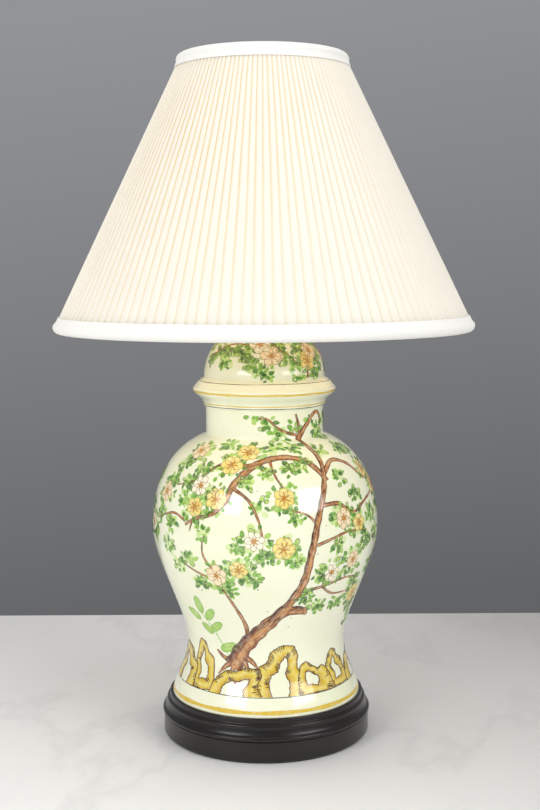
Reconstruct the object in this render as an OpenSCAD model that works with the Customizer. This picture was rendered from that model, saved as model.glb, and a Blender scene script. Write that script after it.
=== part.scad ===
// Table lamp: a covered porcelain jar on a turned wood base, with a harp and a
// pleated cone shade. Millimetres, +Z up, origin at the middle of the felt's underside.

/* [Base] */
// Radius of the plinth band of the wood base
base_r = 118; // [112:0.5:130]
// Height of the plain plinth band, felt not included
plinth_h = 22; // [16:0.5:28]
// Whole height of the wood base
base_h = 46; // [40:0.5:60]
// Depth of the recess that the jar's foot stands in
recess_depth = 3; // [1.5:0.5:6]
// Gap around the foot in that recess
recess_gap = 0.8; // [0.4:0.1:1.2]
// Radius of the hollow under the base
hollow_r = 90; // [60:1:98]
// Thickness of wood left between the hollow and the jar
deck_t = 15; // [8:0.5:20]
// Thickness of the felt pad
felt_t = 2; // [1:0.5:4]
// How far the felt stops short of the base's edge
felt_inset = 3; // [1:0.5:8]

/* [Cord inlet] */
// Height of the inlet's centre above the table
inlet_z = 14; // [12:0.5:17]
// Bore radius of the inlet bushing
inlet_bore_r = 3.5; // [3:0.1:4]
// Wall of the bushing
bushing_wall = 0.9; // [0.7:0.1:1.5]
// Width of the bushing's flange beyond its barrel
bushing_flange_w = 2.4; // [1.5:0.1:4]
// Thickness of that flange
bushing_flange_t = 1.5; // [1:0.1:2.5]
// Length of the bushing's barrel inside the wood
bushing_len = 18; // [10:1:20]

/* [Jar] */
// Radius of the jar's foot
foot_r = 107.5; // [100:0.5:112]
// Radius at the waist above the foot
waist_r = 89.8; // [84:0.5:96]
// Height of the waist above the foot's underside
waist_h = 64; // [50:1:72]
// Radius at the belly
belly_r = 128.2; // [120:0.5:136]
// Height of the belly above the foot's underside
belly_h = 196; // [180:1:205]
// Radius of the neck
neck_r = 66.4; // [62:0.2:70]
// Height of the neck's root above the foot's underside
shoulder_h = 299; // [285:1:310]
// Length of the straight neck
neck_h = 33; // [24:1:45]
// Wall thickness of the jar
jar_wall = 7; // [4:0.5:8]
// Thickness of the jar's floor
jar_floor_t = 7; // [5:0.5:12]
// Height of the hollow under the jar's floor
foot_hollow_h = 3; // [2:0.5:10]
// Width of the foot ring that the jar stands on
foot_ring_w = 14; // [8:1:20]

/* [Lid] */
// How far the lid's seat is wider than the neck
lid_seat_over = 2.2; // [1:0.1:3.5]
// Radius of the lid's rim
rim_r = 80.8; // [78:0.2:86]
// Height of the rim's middle above the seat
rim_h = 18.4; // [17:0.2:21]
// Rounding of the rim
rim_round = 4.2; // [3:0.2:5]
// Height of the dome's foot above the seat
dome_foot_h = 32; // [29:0.5:36]
// Radius of the dome
dome_r = 68.4; // [64:0.2:72]
// Height of the dome's crown, as a full oval, above its foot
dome_h = 63; // [50:1:75]
// Wall thickness of the lid
lid_wall = 7; // [4:0.5:9]
// Depth of the collar that drops into the neck
collar_depth = 12; // [6:1:20]
// Thickness of that collar
collar_t = 5; // [4:0.5:7]
// Gap between the collar and the neck
collar_gap = 1; // [0.5:0.1:1.8]

/* [Lamp pipe] */
// Outer radius of the threaded lamp pipe
pipe_r = 5; // [4.5:0.1:5.2]
// Bore radius of the pipe
pipe_bore_r = 3.6; // [2.5:0.1:4]
// Gap around the pipe in metal and wood parts
pipe_gap = 0.3; // [0.2:0.05:0.6]
// Gap around the pipe in the jar and the lid
glaze_gap = 2.5; // [1:0.5:4]
// How far the pipe's lower end stands below its nut
pipe_tail = 4; // [1:0.5:6]
// Radius of the flat washer under the base
washer_r = 16; // [12:0.5:22]
// Thickness of the flat washer
washer_t = 1.5; // [1:0.1:2.5]
// Thickness of the lock washer
lock_washer_t = 1.2; // [0.8:0.1:2]
// Width across the flats of the locknuts
nut_flats = 15; // [13.5:0.5:16]
// Height of the locknuts
nut_h = 5; // [3:0.5:6]

/* [Vase cap and neck] */
// Radius of the vase cap
vase_cap_r = 26; // [20:0.5:32]
// Height of the vase cap
vase_cap_h = 8; // [5:0.5:12]
// Sheet thickness of the vase cap
vase_cap_t = 1.4; // [1:0.1:2]
// Wall of the brass neck around its nut
brass_neck_wall = 1.8; // [1.2:0.1:3]
// Height of the brass neck
brass_neck_h = 14; // [10:0.5:22]

/* [Harp] */
// Half the distance between the two lugs of the saddle
lug_x = 26; // [25:0.5:32]
// Thickness of the saddle's strap
strap_t = 1.6; // [1.2:0.1:2.5]
// Width of the saddle's strap
strap_w = 9; // [7:0.5:12]
// Height of the lugs above the strap
lug_h = 17; // [14:0.5:20]
// Radius of a lug and a harp foot together
lug_r = 2.8; // [2.4:0.1:3.2]
// Gap between a lug and a harp foot
lug_gap = 0.3; // [0.2:0.05:0.5]
// Radius of the harp's wire
harp_wire_r = 2.1; // [1.6:0.1:2.2]
// Half the width of the harp's bow
harp_half_w = 54; // [48:1:60]
// Height of the harp from the strap to the middle of its top
harp_h = 251; // [240:1:270]
// Outward lean of the harp's lower legs, in degrees
harp_lean = 25; // [18:1:35]
// Bend radius low on the harp's legs
low_bend_r = 14; // [10:1:20]
// Bend radius where the legs turn upright
high_bend_r = 60; // [40:1:70]
// Height of the sleeves
sleeve_h = 14; // [10:0.5:15]
// Wall of the sleeves
sleeve_wall = 1.4; // [1:0.1:2]
// Gap between a sleeve and what it holds
sleeve_gap = 0.4; // [0.3:0.05:0.6]
// Radius of the harp's threaded stud
stud_r = 3.1; // [2.8:0.1:3.3]
// Length of the stud above its flange
stud_len = 12; // [9:0.5:14]
// Radius of the stud's flange
stud_flange_r = 8.5; // [7:0.5:8.5]
// Thickness of the stud's flange
stud_flange_t = 1.4; // [1:0.1:2]

/* [Socket] */
// Outer radius of the socket's brass shell
shell_r = 16.3; // [16.2:0.1:17]
// Sheet thickness of the shell and its cap
shell_t = 0.6; // [0.4:0.1:0.7]
// Height of the shell
shell_h = 42; // [41:0.5:44]
// Radius of the hub on the socket's cap
cap_hub_r = 8; // [7.5:0.1:9]
// Height of that hub
cap_hub_h = 10; // [8:0.5:12]
// Height of the whole cap
cap_h = 22; // [20:0.5:24]
// Thickness of the paper liner
liner_t = 0.8; // [0.4:0.1:0.9]
// Gap between the nested tubes of the socket
nest_gap = 0.3; // [0.2:0.05:0.35]
// Height of the socket's moulded body
socket_body_h = 18; // [17:0.5:20]
// Height of the shoulder on the moulded body
shoulder_t = 2.5; // [1.5:0.5:3]
// Height of the switch's shaft above that body's underside
switch_up = 10.5; // [8:0.5:12]
// Radius of the switch's shaft
switch_shaft_r = 2.5; // [2:0.1:2.8]
// Running clearance of turning parts
running_gap = 0.05; // [0.02:0.01:0.08]
// Radius of the switch's knob
knob_r = 5.5; // [4.5:0.1:7]
// Length of the knob
knob_len = 13; // [11:0.5:16]
// Number of grip flutes on the knob
knob_flutes = 12; // [8:1:16]

/* [Bulb] */
// Radius of the bulb's glass
bulb_r = 30; // [25:0.5:33]
// Whole length of the bulb
bulb_len = 110; // [100:1:120]
// Crest radius of the bulb's screw cap
bulb_cap_r = 13.05; // [12.9:0.05:13.1]
// Depth of the screw thread
thread_depth = 0.7; // [0.4:0.1:0.8]
// Rise of the thread for one turn
thread_pitch = 3.6; // [3:0.1:4]
// Gap between the bulb's thread and the socket's
thread_gap = 0.3; // [0.2:0.05:0.4]
// Thickness of the glass
glass_t = 0.8; // [0.5:0.1:1]

/* [Shade] */
// Radius of the top ring, to the wire's middle
top_ring_r = 89; // [84:0.5:110]
// Radius of the bottom ring, to the wire's middle
bottom_ring_r = 228.6; // [190:0.5:240]
// Height between the two rings
shade_h = 291; // [280:1:295]
// Height of the top ring above the washer's underside
spider_drop = 12; // [10:0.5:13.5]
// Wire radius of the rings
ring_wire_r = 1.8; // [1.4:0.1:2]
// Wire radius of the ribs
rib_wire_r = 1.2; // [0.8:0.1:1.4]
// Number of ribs
rib_count = 8; // [6:1:12]
// Wire radius of the spider's arms
arm_wire_r = 1.6; // [1.2:0.1:1.8]
// Radius of the spider's washer
hub_r = 11; // [10.5:0.5:14]
// Thickness of the spider's washer
hub_t = 1.5; // [1:0.1:2]
// Number of pleats around the shade
pleat_count = 128; // [64:4:160]
// Depth of a pleat at the bottom of the shade
pleat_depth = 1.4; // [0.6:0.1:1.6]
// Thickness of the pleated fabric at the bottom of the shade
fabric_t = 0.6; // [0.4:0.1:0.8]
// Thickness of the lining
liner_fabric_t = 0.5; // [0.3:0.1:0.8]
// Roll radius of the bottom trim
bottom_roll_r = 6.4; // [6.2:0.1:7.5]
// Roll radius of the top trim
top_roll_r = 5.9; // [5.7:0.1:7]
// Height of the bottom trim above its ring
bottom_trim_h = 11; // [8:0.5:16]
// Depth of the top trim below its ring
top_trim_h = 12; // [8:0.5:16]
// Thickness of the trim's flat edge
trim_t = 0.9; // [0.6:0.1:1.4]
// Gap between the cloth layers and the wires
cloth_gap = 0.3; // [0.2:0.05:0.4]

/* [Finial] */
// Height of the finial
finial_h = 29; // [26:0.5:40]
// Radius of the finial's ball
finial_ball_r = 8.5; // [6.5:0.5:11]
// Radius of the finial's foot
finial_foot_r = 7; // [5.5:0.5:9]

/* [Hidden] */
$fn = 64;

// Straight pieces that make up one curve of a profile
curve_steps = 10;
// A cut runs this far past the face it opens
past = 1;
// A piece that joins its neighbour overlaps it by this much
joined = 0.5;

// Heights above the table, stacked from the felt up
base_top = felt_t + base_h;
jar_z = base_top - recess_depth;
hollow_z = jar_z - deck_t;
plinth_z = felt_t + plinth_h;
washer_z = hollow_z - washer_t;
lock_washer_z = washer_z - lock_washer_t;
base_nut_z = lock_washer_z - nut_h;
pipe_z = base_nut_z - pipe_tail;
seat_z = jar_z + shoulder_h + neck_h;
dome_z = seat_z + dome_foot_h;
neck_bore_r = neck_r - jar_wall;
// The lid is cut flat where the vase cap sits on it
lid_flat_r = vase_cap_r + 1;
lid_top_z = dome_z + dome_h * sqrt(1 - pow(lid_flat_r / dome_r, 2));
top_nut_z = lid_top_z + vase_cap_h;
saddle_z = top_nut_z + brass_neck_h;
strap_top = saddle_z + strap_t;
pipe_top = strap_top + cap_hub_h - 1;
nut_corner_r = nut_flats / 2 / cos(30);

// Socket, from its cap up
shell_z = strap_top + cap_h - 4;
liner_r = shell_r - shell_t - nest_gap;
liner_bore_r = liner_r - liner_t;
socket_body_z = shell_z + 1.5;
socket_body_top = socket_body_z + socket_body_h;
switch_z = socket_body_z + switch_up;
screw_root_r = bulb_cap_r + thread_gap;
screw_shell_t = 0.35;
screw_shell_h = 20;
core_r = screw_root_r - 0.8;
contact_h = 3;
bulb_z = socket_body_top + contact_h + thread_gap;
bulb_tip_h = 2;
insulator_h = 4;
bulb_cap_z = bulb_z + bulb_tip_h + insulator_h;
bulb_cap_h = 19;
thread_z = bulb_cap_z + 1;
bulb_widest_z = bulb_z + bulb_len - bulb_r;
glass_z = bulb_cap_z + bulb_cap_h - 4;

// Harp, from the saddle up
wire_z = strap_top + lug_h + 1;
low_bend_z = wire_z + sleeve_h - 4;
low_bend_end = [lug_x + low_bend_r * (1 - cos(harp_lean)), low_bend_z + low_bend_r * sin(harp_lean)];
high_bend_x = harp_half_w - high_bend_r * (1 - cos(harp_lean));
slant_len = (high_bend_x - low_bend_end[0]) / sin(harp_lean);
high_bend_z = low_bend_end[1] + slant_len * cos(harp_lean) + high_bend_r * sin(harp_lean);
bow_top = strap_top + harp_h;
bow_centre_z = bow_top - harp_half_w;
sleeve_bore_r = lug_r + sleeve_gap;
flange_z = bow_top + harp_wire_r + joined;
hub_z = flange_z + stud_flange_t;
finial_z = hub_z + hub_t;

// Shade, hung from the washer on the harp
top_ring_z = hub_z + spider_drop;
bottom_ring_z = top_ring_z - shade_h;
taper = (bottom_ring_r - top_ring_r) / shade_h;
lean = atan(taper);
// Level distance that a wire of the rings takes up beside the frame's cone
ring_side = ring_wire_r / cos(lean);
fabric_in = ring_side + cloth_gap;
fabric_out = fabric_in + fabric_t + pleat_depth;
lining_out = -ring_side - cloth_gap;
lining_in = lining_out - liner_fabric_t;
fabric_z = bottom_ring_z - 0.8;
fabric_top = top_ring_z + 0.8;
bottom_pleat_r = cone_r(fabric_z) + fabric_out;
// The pleats close up towards the top, where the fabric just clears the ring
top_pleat_r = (cone_r(fabric_top) + fabric_in + 0.4) * bottom_pleat_r / (bottom_pleat_r - pleat_depth - fabric_t);

// Radius of the frame's cone at a height
function cone_r(z) = bottom_ring_r - (z - bottom_ring_z) * taper;
// Points of an arc from angle a0 to angle a1
function arc(c, r, a0, a1, n = curve_steps) =
    [for (i = [0:n]) let (a = a0 + (a1 - a0) * i / n) [c[0] + r * cos(a), c[1] + r * sin(a)]];
// Points of an oval arc
function oval(c, rx, ry, a0, a1, n = curve_steps) =
    [for (i = [0:n]) let (a = a0 + (a1 - a0) * i / n) [c[0] + rx * cos(a), c[1] + ry * sin(a)]];
// Points of a cubic curve, its first point left out
function curve(p, q, r, s, n = curve_steps) =
    [for (i = [1:n]) let (t = i / n, u = 1 - t)
        u * u * u * p + 3 * u * u * t * q + 3 * u * t * t * r + t * t * t * s];
// A profile that climbs, moved inwards by a wall's thickness
function inward(p, d) =
    [for (i = [0:len(p) - 1])
        let (a = p[max(i - 1, 0)], b = p[min(i + 1, len(p) - 1)], t = (b - a) / norm(b - a))
        [p[i][0] - d * t[1], p[i][1] + d * t[0]]];
function turned(p) = [for (i = [len(p) - 1:-1:0]) p[i]];
function above(p, z) = [for (q = p) if (q[1] > z) q];

// A ring with a square section
module tube(r, bore, h, z = 0) {
    translate([0, 0, z])
    difference() {
        cylinder(r = r, h = h);
        translate([0, 0, -past]) cylinder(r = bore, h = h + 2 * past);
    }
}

// A piece of wire bent in an upright plane, from angle a0 to a1
module bent_wire(x, z, bend, a0, a1) {
    translate([x, 0, z])
    rotate([90, 0, 0])
    rotate([0, 0, a0])
    rotate_extrude(angle = a1 - a0)
    translate([bend, 0])
    circle(r = harp_wire_r);
}

module hex_nut(z) {
    translate([0, 0, z])
    difference() {
        cylinder(r = nut_corner_r, h = nut_h, $fn = 6);
        translate([0, 0, -past]) cylinder(r = pipe_r + running_gap, h = nut_h + 2 * past);
    }
}

module base_felt() {
    color([0.12, 0.12, 0.11])
    cylinder(r = base_r - felt_inset, h = felt_t);
}

// Outline of the turned base, from the plinth's foot to the lip round the jar
lip_r = foot_r + recess_gap;
moulding_z = plinth_z + 0.8;
moulding_h = base_top - moulding_z;
lower_bead_r = 2.8;
upper_bead_r = 3.2;
upper_bead_z = moulding_z + 0.6 * moulding_h;
lip_top_r = lip_r + 1.2;
base_outline = concat(
    arc([base_r - 1.5, felt_t + 1.5], 1.5, -90, 0, 4),
    [[base_r, plinth_z - 0.4], [base_r - 0.6, plinth_z]],
    arc([base_r + 1.4 - lower_bead_r, moulding_z + 2.2], lower_bead_r, -50, 75, 8),
    curve([base_r - 0.7, moulding_z + 4.9], [base_r - 2.4, moulding_z + 6.6],
        [lip_r + 6.5, upper_bead_z - 3.6], [lip_r + 6, upper_bead_z - 1.6], 6),
    arc([lip_r + 6 - upper_bead_r, upper_bead_z], upper_bead_r, 0, 78, 6),
    [[lip_r + 3, upper_bead_z + 3.9]],
    arc([lip_top_r, base_top - 1.4], 1.4, 0, 90, 4));

module wood_base() {
    color([0.13, 0.09, 0.08])
    difference() {
        rotate_extrude()
        polygon(concat([[hollow_r, felt_t]], base_outline,
            [[lip_r, base_top], [lip_r, jar_z], [pipe_r + pipe_gap, jar_z],
             [pipe_r + pipe_gap, hollow_z], [hollow_r, hollow_z]]));
        inlet_cut(bushing_r() + nest_gap, hollow_r - past, base_r + past);
        inlet_cut(bushing_flange_r() + nest_gap, base_r - 1, base_r + past);
    }
}

function bushing_r() = inlet_bore_r + bushing_wall;
function bushing_flange_r() = bushing_r() + bushing_flange_w;

// A round bar along +Y at the inlet's height
module inlet_cut(r, y0, y1) {
    translate([0, y0, inlet_z]) rotate([-90, 0, 0]) cylinder(r = r, h = y1 - y0);
}

module cord_bushing() {
    flange_y = base_r - 1;
    color([0.06, 0.06, 0.06])
    difference() {
        union() {
            inlet_cut(bushing_r(), flange_y - bushing_len, flange_y + joined);
            inlet_cut(bushing_flange_r(), flange_y, flange_y + bushing_flange_t);
        }
        inlet_cut(inlet_bore_r, flange_y - bushing_len - past, flange_y + bushing_flange_t + past);
    }
}

module base_washer() {
    color([0.72, 0.72, 0.7]) tube(washer_r, pipe_r + pipe_gap, washer_t, washer_z);
}

// A split ring under the washer
module base_lock_washer() {
    color([0.6, 0.6, 0.6])
    difference() {
        tube(nut_corner_r, pipe_r + pipe_gap, lock_washer_t, lock_washer_z);
        translate([0, -1, lock_washer_z - past]) cube([nut_corner_r + past, 2, lock_washer_t + 2 * past]);
    }
}

module base_locknut() {
    color([0.75, 0.68, 0.45]) hex_nut(base_nut_z);
}

module lamp_pipe() {
    color([0.74, 0.72, 0.66]) tube(pipe_r, pipe_bore_r, pipe_top - pipe_z, pipe_z);
}

// Outline of the jar, from the foot to the neck's root
foot_edge = 2;
waist = [waist_r, jar_z + waist_h];
belly = [belly_r, jar_z + belly_h];
neck_root = [neck_r + 2.6, jar_z + shoulder_h];
foot_top = [foot_r, jar_z + foot_edge + 2];
jar_curve = concat(
    [foot_top],
    curve(foot_top, foot_top + [-5, 20], waist - [0, 28], waist),
    curve(waist, waist + [0, 32], belly - [0, 40], belly, 12),
    curve(belly, belly + [0, 36], neck_root + [47, -19], neck_root, 14),
    curve(neck_root, neck_root + [-1.9, 0.8], [neck_r, neck_root[1] + 1.6], [neck_r, neck_root[1] + 4], 4));

module jar_body() {
    floor_top = jar_z + foot_hollow_h + jar_floor_t;
    hole_r = pipe_r + glaze_gap;
    inner = above(inward(jar_curve, jar_wall), floor_top + 3);
    color([0.93, 0.93, 0.8])
    rotate_extrude()
    polygon(concat(
        [[foot_r - foot_ring_w, jar_z]],
        arc([foot_r - foot_edge, jar_z + foot_edge], foot_edge, -90, 0, 4),
        jar_curve,
        arc([neck_r - 1.5, seat_z - 1.5], 1.5, 0, 90, 4),
        [[neck_bore_r, seat_z]],
        turned(inner),
        [[inner[0][0] - 3, floor_top], [hole_r, floor_top], [hole_r, floor_top - jar_floor_t],
         [foot_r - foot_ring_w - 3, floor_top - jar_floor_t]]));
}

// Outline of the lid, from its seat to the flat under the vase cap
lid_seat_r = neck_r + lid_seat_over;
lid_flat_angle = acos(lid_flat_r / dome_r);
lid_outline = concat(
    [[lid_seat_r, seat_z], [lid_seat_r + 0.5, seat_z + 2.6]],
    curve([lid_seat_r + 0.5, seat_z + 2.6], [lid_seat_r + 1.5, seat_z + 9],
        [rim_r - 5, seat_z + rim_h - 8], [rim_r - 0.5, seat_z + rim_h - 2.2], 6),
    arc([rim_r - rim_round, seat_z + rim_h], rim_round, -18, 62, 8),
    curve([rim_r - 2.2, seat_z + rim_h + 3.7], [rim_r - 5.5, dome_z - 5.2],
        [dome_r + 6, dome_z - 3.4], [dome_r + 1.4, dome_z - 1.4], 6),
    oval([0, dome_z], dome_r, dome_h, 0, lid_flat_angle, 16));

module jar_lid() {
    collar_r = neck_bore_r - collar_gap;
    bore_r = collar_r - collar_t;
    hole_r = pipe_r + glaze_gap;
    inner_flat_r = lid_flat_r - 2;
    inner_r = dome_r - lid_wall;
    inner_h = dome_h - lid_wall;
    inner_angle = acos(inner_flat_r / inner_r);
    inner_top = dome_z + inner_h * sin(inner_angle);
    color([0.94, 0.92, 0.72])
    rotate_extrude()
    polygon(concat(
        lid_outline,
        [[hole_r, lid_top_z], [hole_r, inner_top]],
        turned(oval([0, dome_z], inner_r, inner_h, 0, inner_angle, 12)),
        curve([inner_r, dome_z], [inner_r, dome_z - 10], [bore_r, seat_z + 18], [bore_r, seat_z + 10], 6),
        [[bore_r, seat_z - collar_depth], [collar_r, seat_z - collar_depth], [collar_r, seat_z]]));
}

// A spun brass cap, flat where the nut sits on it
module vase_cap() {
    top_r = nut_corner_r + brass_neck_wall + 1.5;
    rise = lid_top_z + vase_cap_t;
    color([0.8, 0.64, 0.3])
    rotate_extrude()
    polygon(concat(
        [[vase_cap_r - 2, lid_top_z], [vase_cap_r, lid_top_z]],
        curve([vase_cap_r, lid_top_z], [vase_cap_r, rise + 2.5], [top_r + 5, top_nut_z], [top_r, top_nut_z], 8),
        [[pipe_r + pipe_gap, top_nut_z], [pipe_r + pipe_gap, top_nut_z - vase_cap_t],
         [top_r, top_nut_z - vase_cap_t]],
        curve([top_r, top_nut_z - vase_cap_t], [top_r + 4, top_nut_z - vase_cap_t],
            [vase_cap_r - 2, rise + 1.5], [vase_cap_r - 2, lid_top_z], 7)));
}

module top_locknut() {
    color([0.75, 0.68, 0.45]) hex_nut(top_nut_z);
}

// A turned neck that hides the nut and carries the saddle
module brass_neck() {
    cavity_r = nut_corner_r + nest_gap;
    outer_r = cavity_r + brass_neck_wall;
    roof_z = top_nut_z + nut_h + 1;
    top_r = outer_r - 2;
    color([0.8, 0.64, 0.3])
    rotate_extrude()
    polygon(concat(
        [[cavity_r, top_nut_z], [outer_r, top_nut_z]],
        arc([outer_r - 1.5, top_nut_z + 2.5], 1.5, -20, 90, 5),
        curve([outer_r - 1.5, top_nut_z + 4], [outer_r - 1.4, top_nut_z + 7],
            [outer_r - 1.2, roof_z], [outer_r - 0.4, roof_z + 1], 5),
        curve([outer_r - 0.4, roof_z + 1], [outer_r - 0.6, saddle_z - 3], [top_r, saddle_z - 3.5],
            [top_r, saddle_z], 5),
        [[pipe_r + pipe_gap, saddle_z], [pipe_r + pipe_gap, roof_z], [cavity_r, roof_z]]));
}

// Half of a round post at a lug, on the side that faces away from the lamp's axis or towards it
module half_post(side, z, h, facing) {
    outward = side * facing;
    translate([side * lug_x, 0, z])
    intersection() {
        cylinder(r = lug_r, h = h);
        translate([outward > 0 ? lug_gap / 2 : -lug_gap / 2 - 2 * lug_r, -lug_r, 0])
        cube([2 * lug_r, 2 * lug_r, h]);
    }
}

module harp_saddle() {
    color([0.76, 0.6, 0.3])
    union() {
        difference() {
            translate([0, 0, saddle_z])
            linear_extrude(strap_t)
            union() {
                circle(r = pipe_r + 6);
                square([2 * lug_x, strap_w], center = true);
                for (side = [-1, 1]) translate([side * lug_x, 0]) circle(r = strap_w / 2);
            }
            translate([0, 0, saddle_z - past]) cylinder(r = pipe_r + pipe_gap, h = strap_t + 2 * past);
        }
        for (side = [-1, 1]) half_post(side, strap_top - joined, lug_h + joined, -1);
    }
}

// A bead, a hair thicker than the wire, where two stretches of it meet
module wire_joint(x, z) {
    translate([x, 0, z]) sphere(r = harp_wire_r + running_gap);
}

// One leg of the bow, on the +X side
module harp_leg() {
    half_post(1, strap_top, wire_z + joined - strap_top, 1);
    translate([lug_x, 0, wire_z]) cylinder(r = harp_wire_r, h = low_bend_z - wire_z);
    wire_joint(lug_x, low_bend_z);
    bent_wire(lug_x + low_bend_r, low_bend_z, low_bend_r, 180 - harp_lean, 180);
    wire_joint(low_bend_end[0], low_bend_end[1]);
    translate([low_bend_end[0], 0, low_bend_end[1]])
    rotate([0, harp_lean, 0])
    cylinder(r = harp_wire_r, h = slant_len);
    wire_joint(high_bend_x, high_bend_z - high_bend_r * sin(harp_lean));
    bent_wire(harp_half_w - high_bend_r, high_bend_z, high_bend_r, -harp_lean, 0);
    wire_joint(harp_half_w, high_bend_z);
    translate([harp_half_w, 0, high_bend_z]) cylinder(r = harp_wire_r, h = bow_centre_z - high_bend_z);
    wire_joint(harp_half_w, bow_centre_z);
}

stud_hub_r = stud_r + 0.4;
eye_t = 1.5 * harp_wire_r;

module harp_bow() {
    color([0.76, 0.6, 0.3])
    difference() {
        union() {
            harp_leg();
            mirror([1, 0, 0]) harp_leg();
            bent_wire(0, bow_centre_z, harp_half_w, 0, 180);
            translate([0, 0, bow_top - eye_t / 2]) cylinder(r = stud_hub_r + 3.2, h = eye_t);
        }
        translate([0, 0, bow_top - 3 * harp_wire_r]) cylinder(r = stud_hub_r, h = 6 * harp_wire_r);
    }
}

// A hub riveted in the eye of the bow, with the flange and the threaded stud on it
module harp_stud() {
    head_r = stud_hub_r + 1.8;
    head_t = 1.2;
    drop = harp_half_w - sqrt(harp_half_w * harp_half_w - head_r * head_r);
    rivet_z = bow_top - harp_wire_r - drop - running_gap - head_t;
    color([0.82, 0.68, 0.36])
    union() {
        translate([0, 0, rivet_z]) cylinder(r = head_r, h = head_t);
        translate([0, 0, rivet_z]) cylinder(r = stud_hub_r - running_gap, h = flange_z + joined - rivet_z);
        translate([0, 0, flange_z]) cylinder(r = stud_flange_r, h = stud_flange_t);
        translate([0, 0, flange_z]) cylinder(r = stud_r, h = stud_flange_t + stud_len);
    }
}

module harp_sleeve(side) {
    color([0.76, 0.6, 0.3])
    translate([side * lug_x, 0, 0])
    tube(sleeve_bore_r + sleeve_wall, sleeve_bore_r, sleeve_h, strap_top + 0.3);
}

// The spun cap that screws on the pipe and carries the shell
module socket_cap() {
    rim_out = shell_r + 0.1 + shell_t;
    rim_z = strap_top + cap_h;
    color([0.8, 0.66, 0.34])
    difference() {
        rotate_extrude()
        polygon(concat(
            [[pipe_r + running_gap, strap_top], [cap_hub_r, strap_top], [cap_hub_r, strap_top + cap_hub_h - 2]],
            curve([cap_hub_r, strap_top + cap_hub_h - 2], [cap_hub_r + 1, strap_top + cap_hub_h + 2],
                [rim_out, strap_top + cap_hub_h], [rim_out, rim_z - 5], 6),
            [[rim_out, rim_z], [rim_out - shell_t, rim_z], [rim_out - shell_t, rim_z - 4.6]],
            curve([rim_out - shell_t, rim_z - 4.6], [rim_out - shell_t, strap_top + cap_hub_h + 1],
                [cap_hub_r + 1, strap_top + cap_hub_h + 2.5], [cap_hub_r - 0.8, strap_top + cap_hub_h], 6),
            [[pipe_r + running_gap, strap_top + cap_hub_h]]));
        set_screw_bar(set_screw_r + 0.1, pipe_r - past, cap_hub_r + past);
    }
}

set_screw_r = 1.5;

// A bar along +Y through the hub of the cap
module set_screw_bar(r, y0, y1) {
    translate([0, y0, strap_top + cap_hub_h / 2 - 0.5]) rotate([-90, 0, 0]) cylinder(r = r, h = y1 - y0);
}

module cap_set_screw() {
    color([0.75, 0.74, 0.7])
    difference() {
        union() {
            set_screw_bar(set_screw_r, pipe_r + running_gap, cap_hub_r + 2);
            set_screw_bar(2 * set_screw_r, cap_hub_r + 0.6, cap_hub_r + 2.4);
        }
        translate([-2 * set_screw_r, cap_hub_r + 1.8, strap_top + cap_hub_h / 2 - 0.8])
        cube([4 * set_screw_r, 2, 0.6]);
    }
}

// A bar along -Y at the height of the switch
module switch_bar(r, y0, y1) {
    translate([0, -y0, switch_z]) rotate([90, 0, 0]) cylinder(r = r, h = y1 - y0);
}

module socket_shell() {
    lip_h = 1.6;
    color([0.8, 0.66, 0.34])
    difference() {
        union() {
            tube(shell_r, shell_r - shell_t, shell_h, shell_z);
            tube(shell_r + 0.5, shell_r - joined, lip_h, shell_z + shell_h - lip_h);
        }
        switch_bar(switch_shaft_r + 0.7, liner_bore_r, shell_r + past);
    }
}

module socket_liner() {
    color([0.68, 0.55, 0.38])
    difference() {
        tube(liner_r, liner_bore_r, shell_h - 2, shell_z + 0.6);
        switch_bar(switch_shaft_r + 1, liner_bore_r - past, liner_r + past);
    }
}

// The moulded body that holds the switch and the screw shell
module socket_body() {
    color([0.2, 0.13, 0.1])
    difference() {
        union() {
            translate([0, 0, socket_body_z]) cylinder(r = core_r, h = socket_body_h);
            translate([0, 0, socket_body_z]) cylinder(r = liner_bore_r - nest_gap, h = shoulder_t);
        }
        switch_bar(switch_shaft_r + running_gap, 3, core_r + past);
    }
}

// Points of a rolled thread, as rings, from z0 up to at most z0 + h
function thread(r, z0, h) =
    let (n = floor(h / thread_pitch) * 8)
    [for (i = [0:n]) [r - thread_depth / 2 * (1 - cos(45 * i)), z0 + i * thread_pitch / 8]];

module socket_screw_shell() {
    rings_z = thread_z - 2 * thread_pitch;
    inner = thread(screw_root_r, rings_z, socket_body_top + screw_shell_h - rings_z);
    color([0.82, 0.68, 0.36])
    rotate_extrude()
    polygon(concat(
        [[6, socket_body_top], [screw_root_r + screw_shell_t, socket_body_top]],
        [for (p = inner) p + [screw_shell_t, 0]],
        turned(inner),
        [[screw_root_r, socket_body_top + screw_shell_t], [6, socket_body_top + screw_shell_t]]));
}

module socket_contact() {
    color([0.82, 0.68, 0.36])
    rotate_extrude()
    polygon(concat(
        [[0, socket_body_top], [5, socket_body_top], [5, socket_body_top + 0.6]],
        curve([5, socket_body_top + 0.6], [3, socket_body_top + 0.8], [3, socket_body_top + contact_h],
            [0, socket_body_top + contact_h], 6)));
}

module terminal_screws() {
    head_h = 1.6;
    color([0.82, 0.72, 0.42])
    for (side = [-1, 1])
    translate([side * 7.5, 0, socket_body_z - head_h])
    difference() {
        cylinder(r = 2.6, h = head_h);
        translate([-3, -0.4, -past]) cube([6, 0.8, past + 0.6]);
    }
}

knob_y = shell_r + 3;
shaft_end = knob_y + knob_len - 4;

module switch_shaft() {
    color([0.78, 0.66, 0.36]) switch_bar(switch_shaft_r, 3.4, shaft_end);
}

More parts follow.
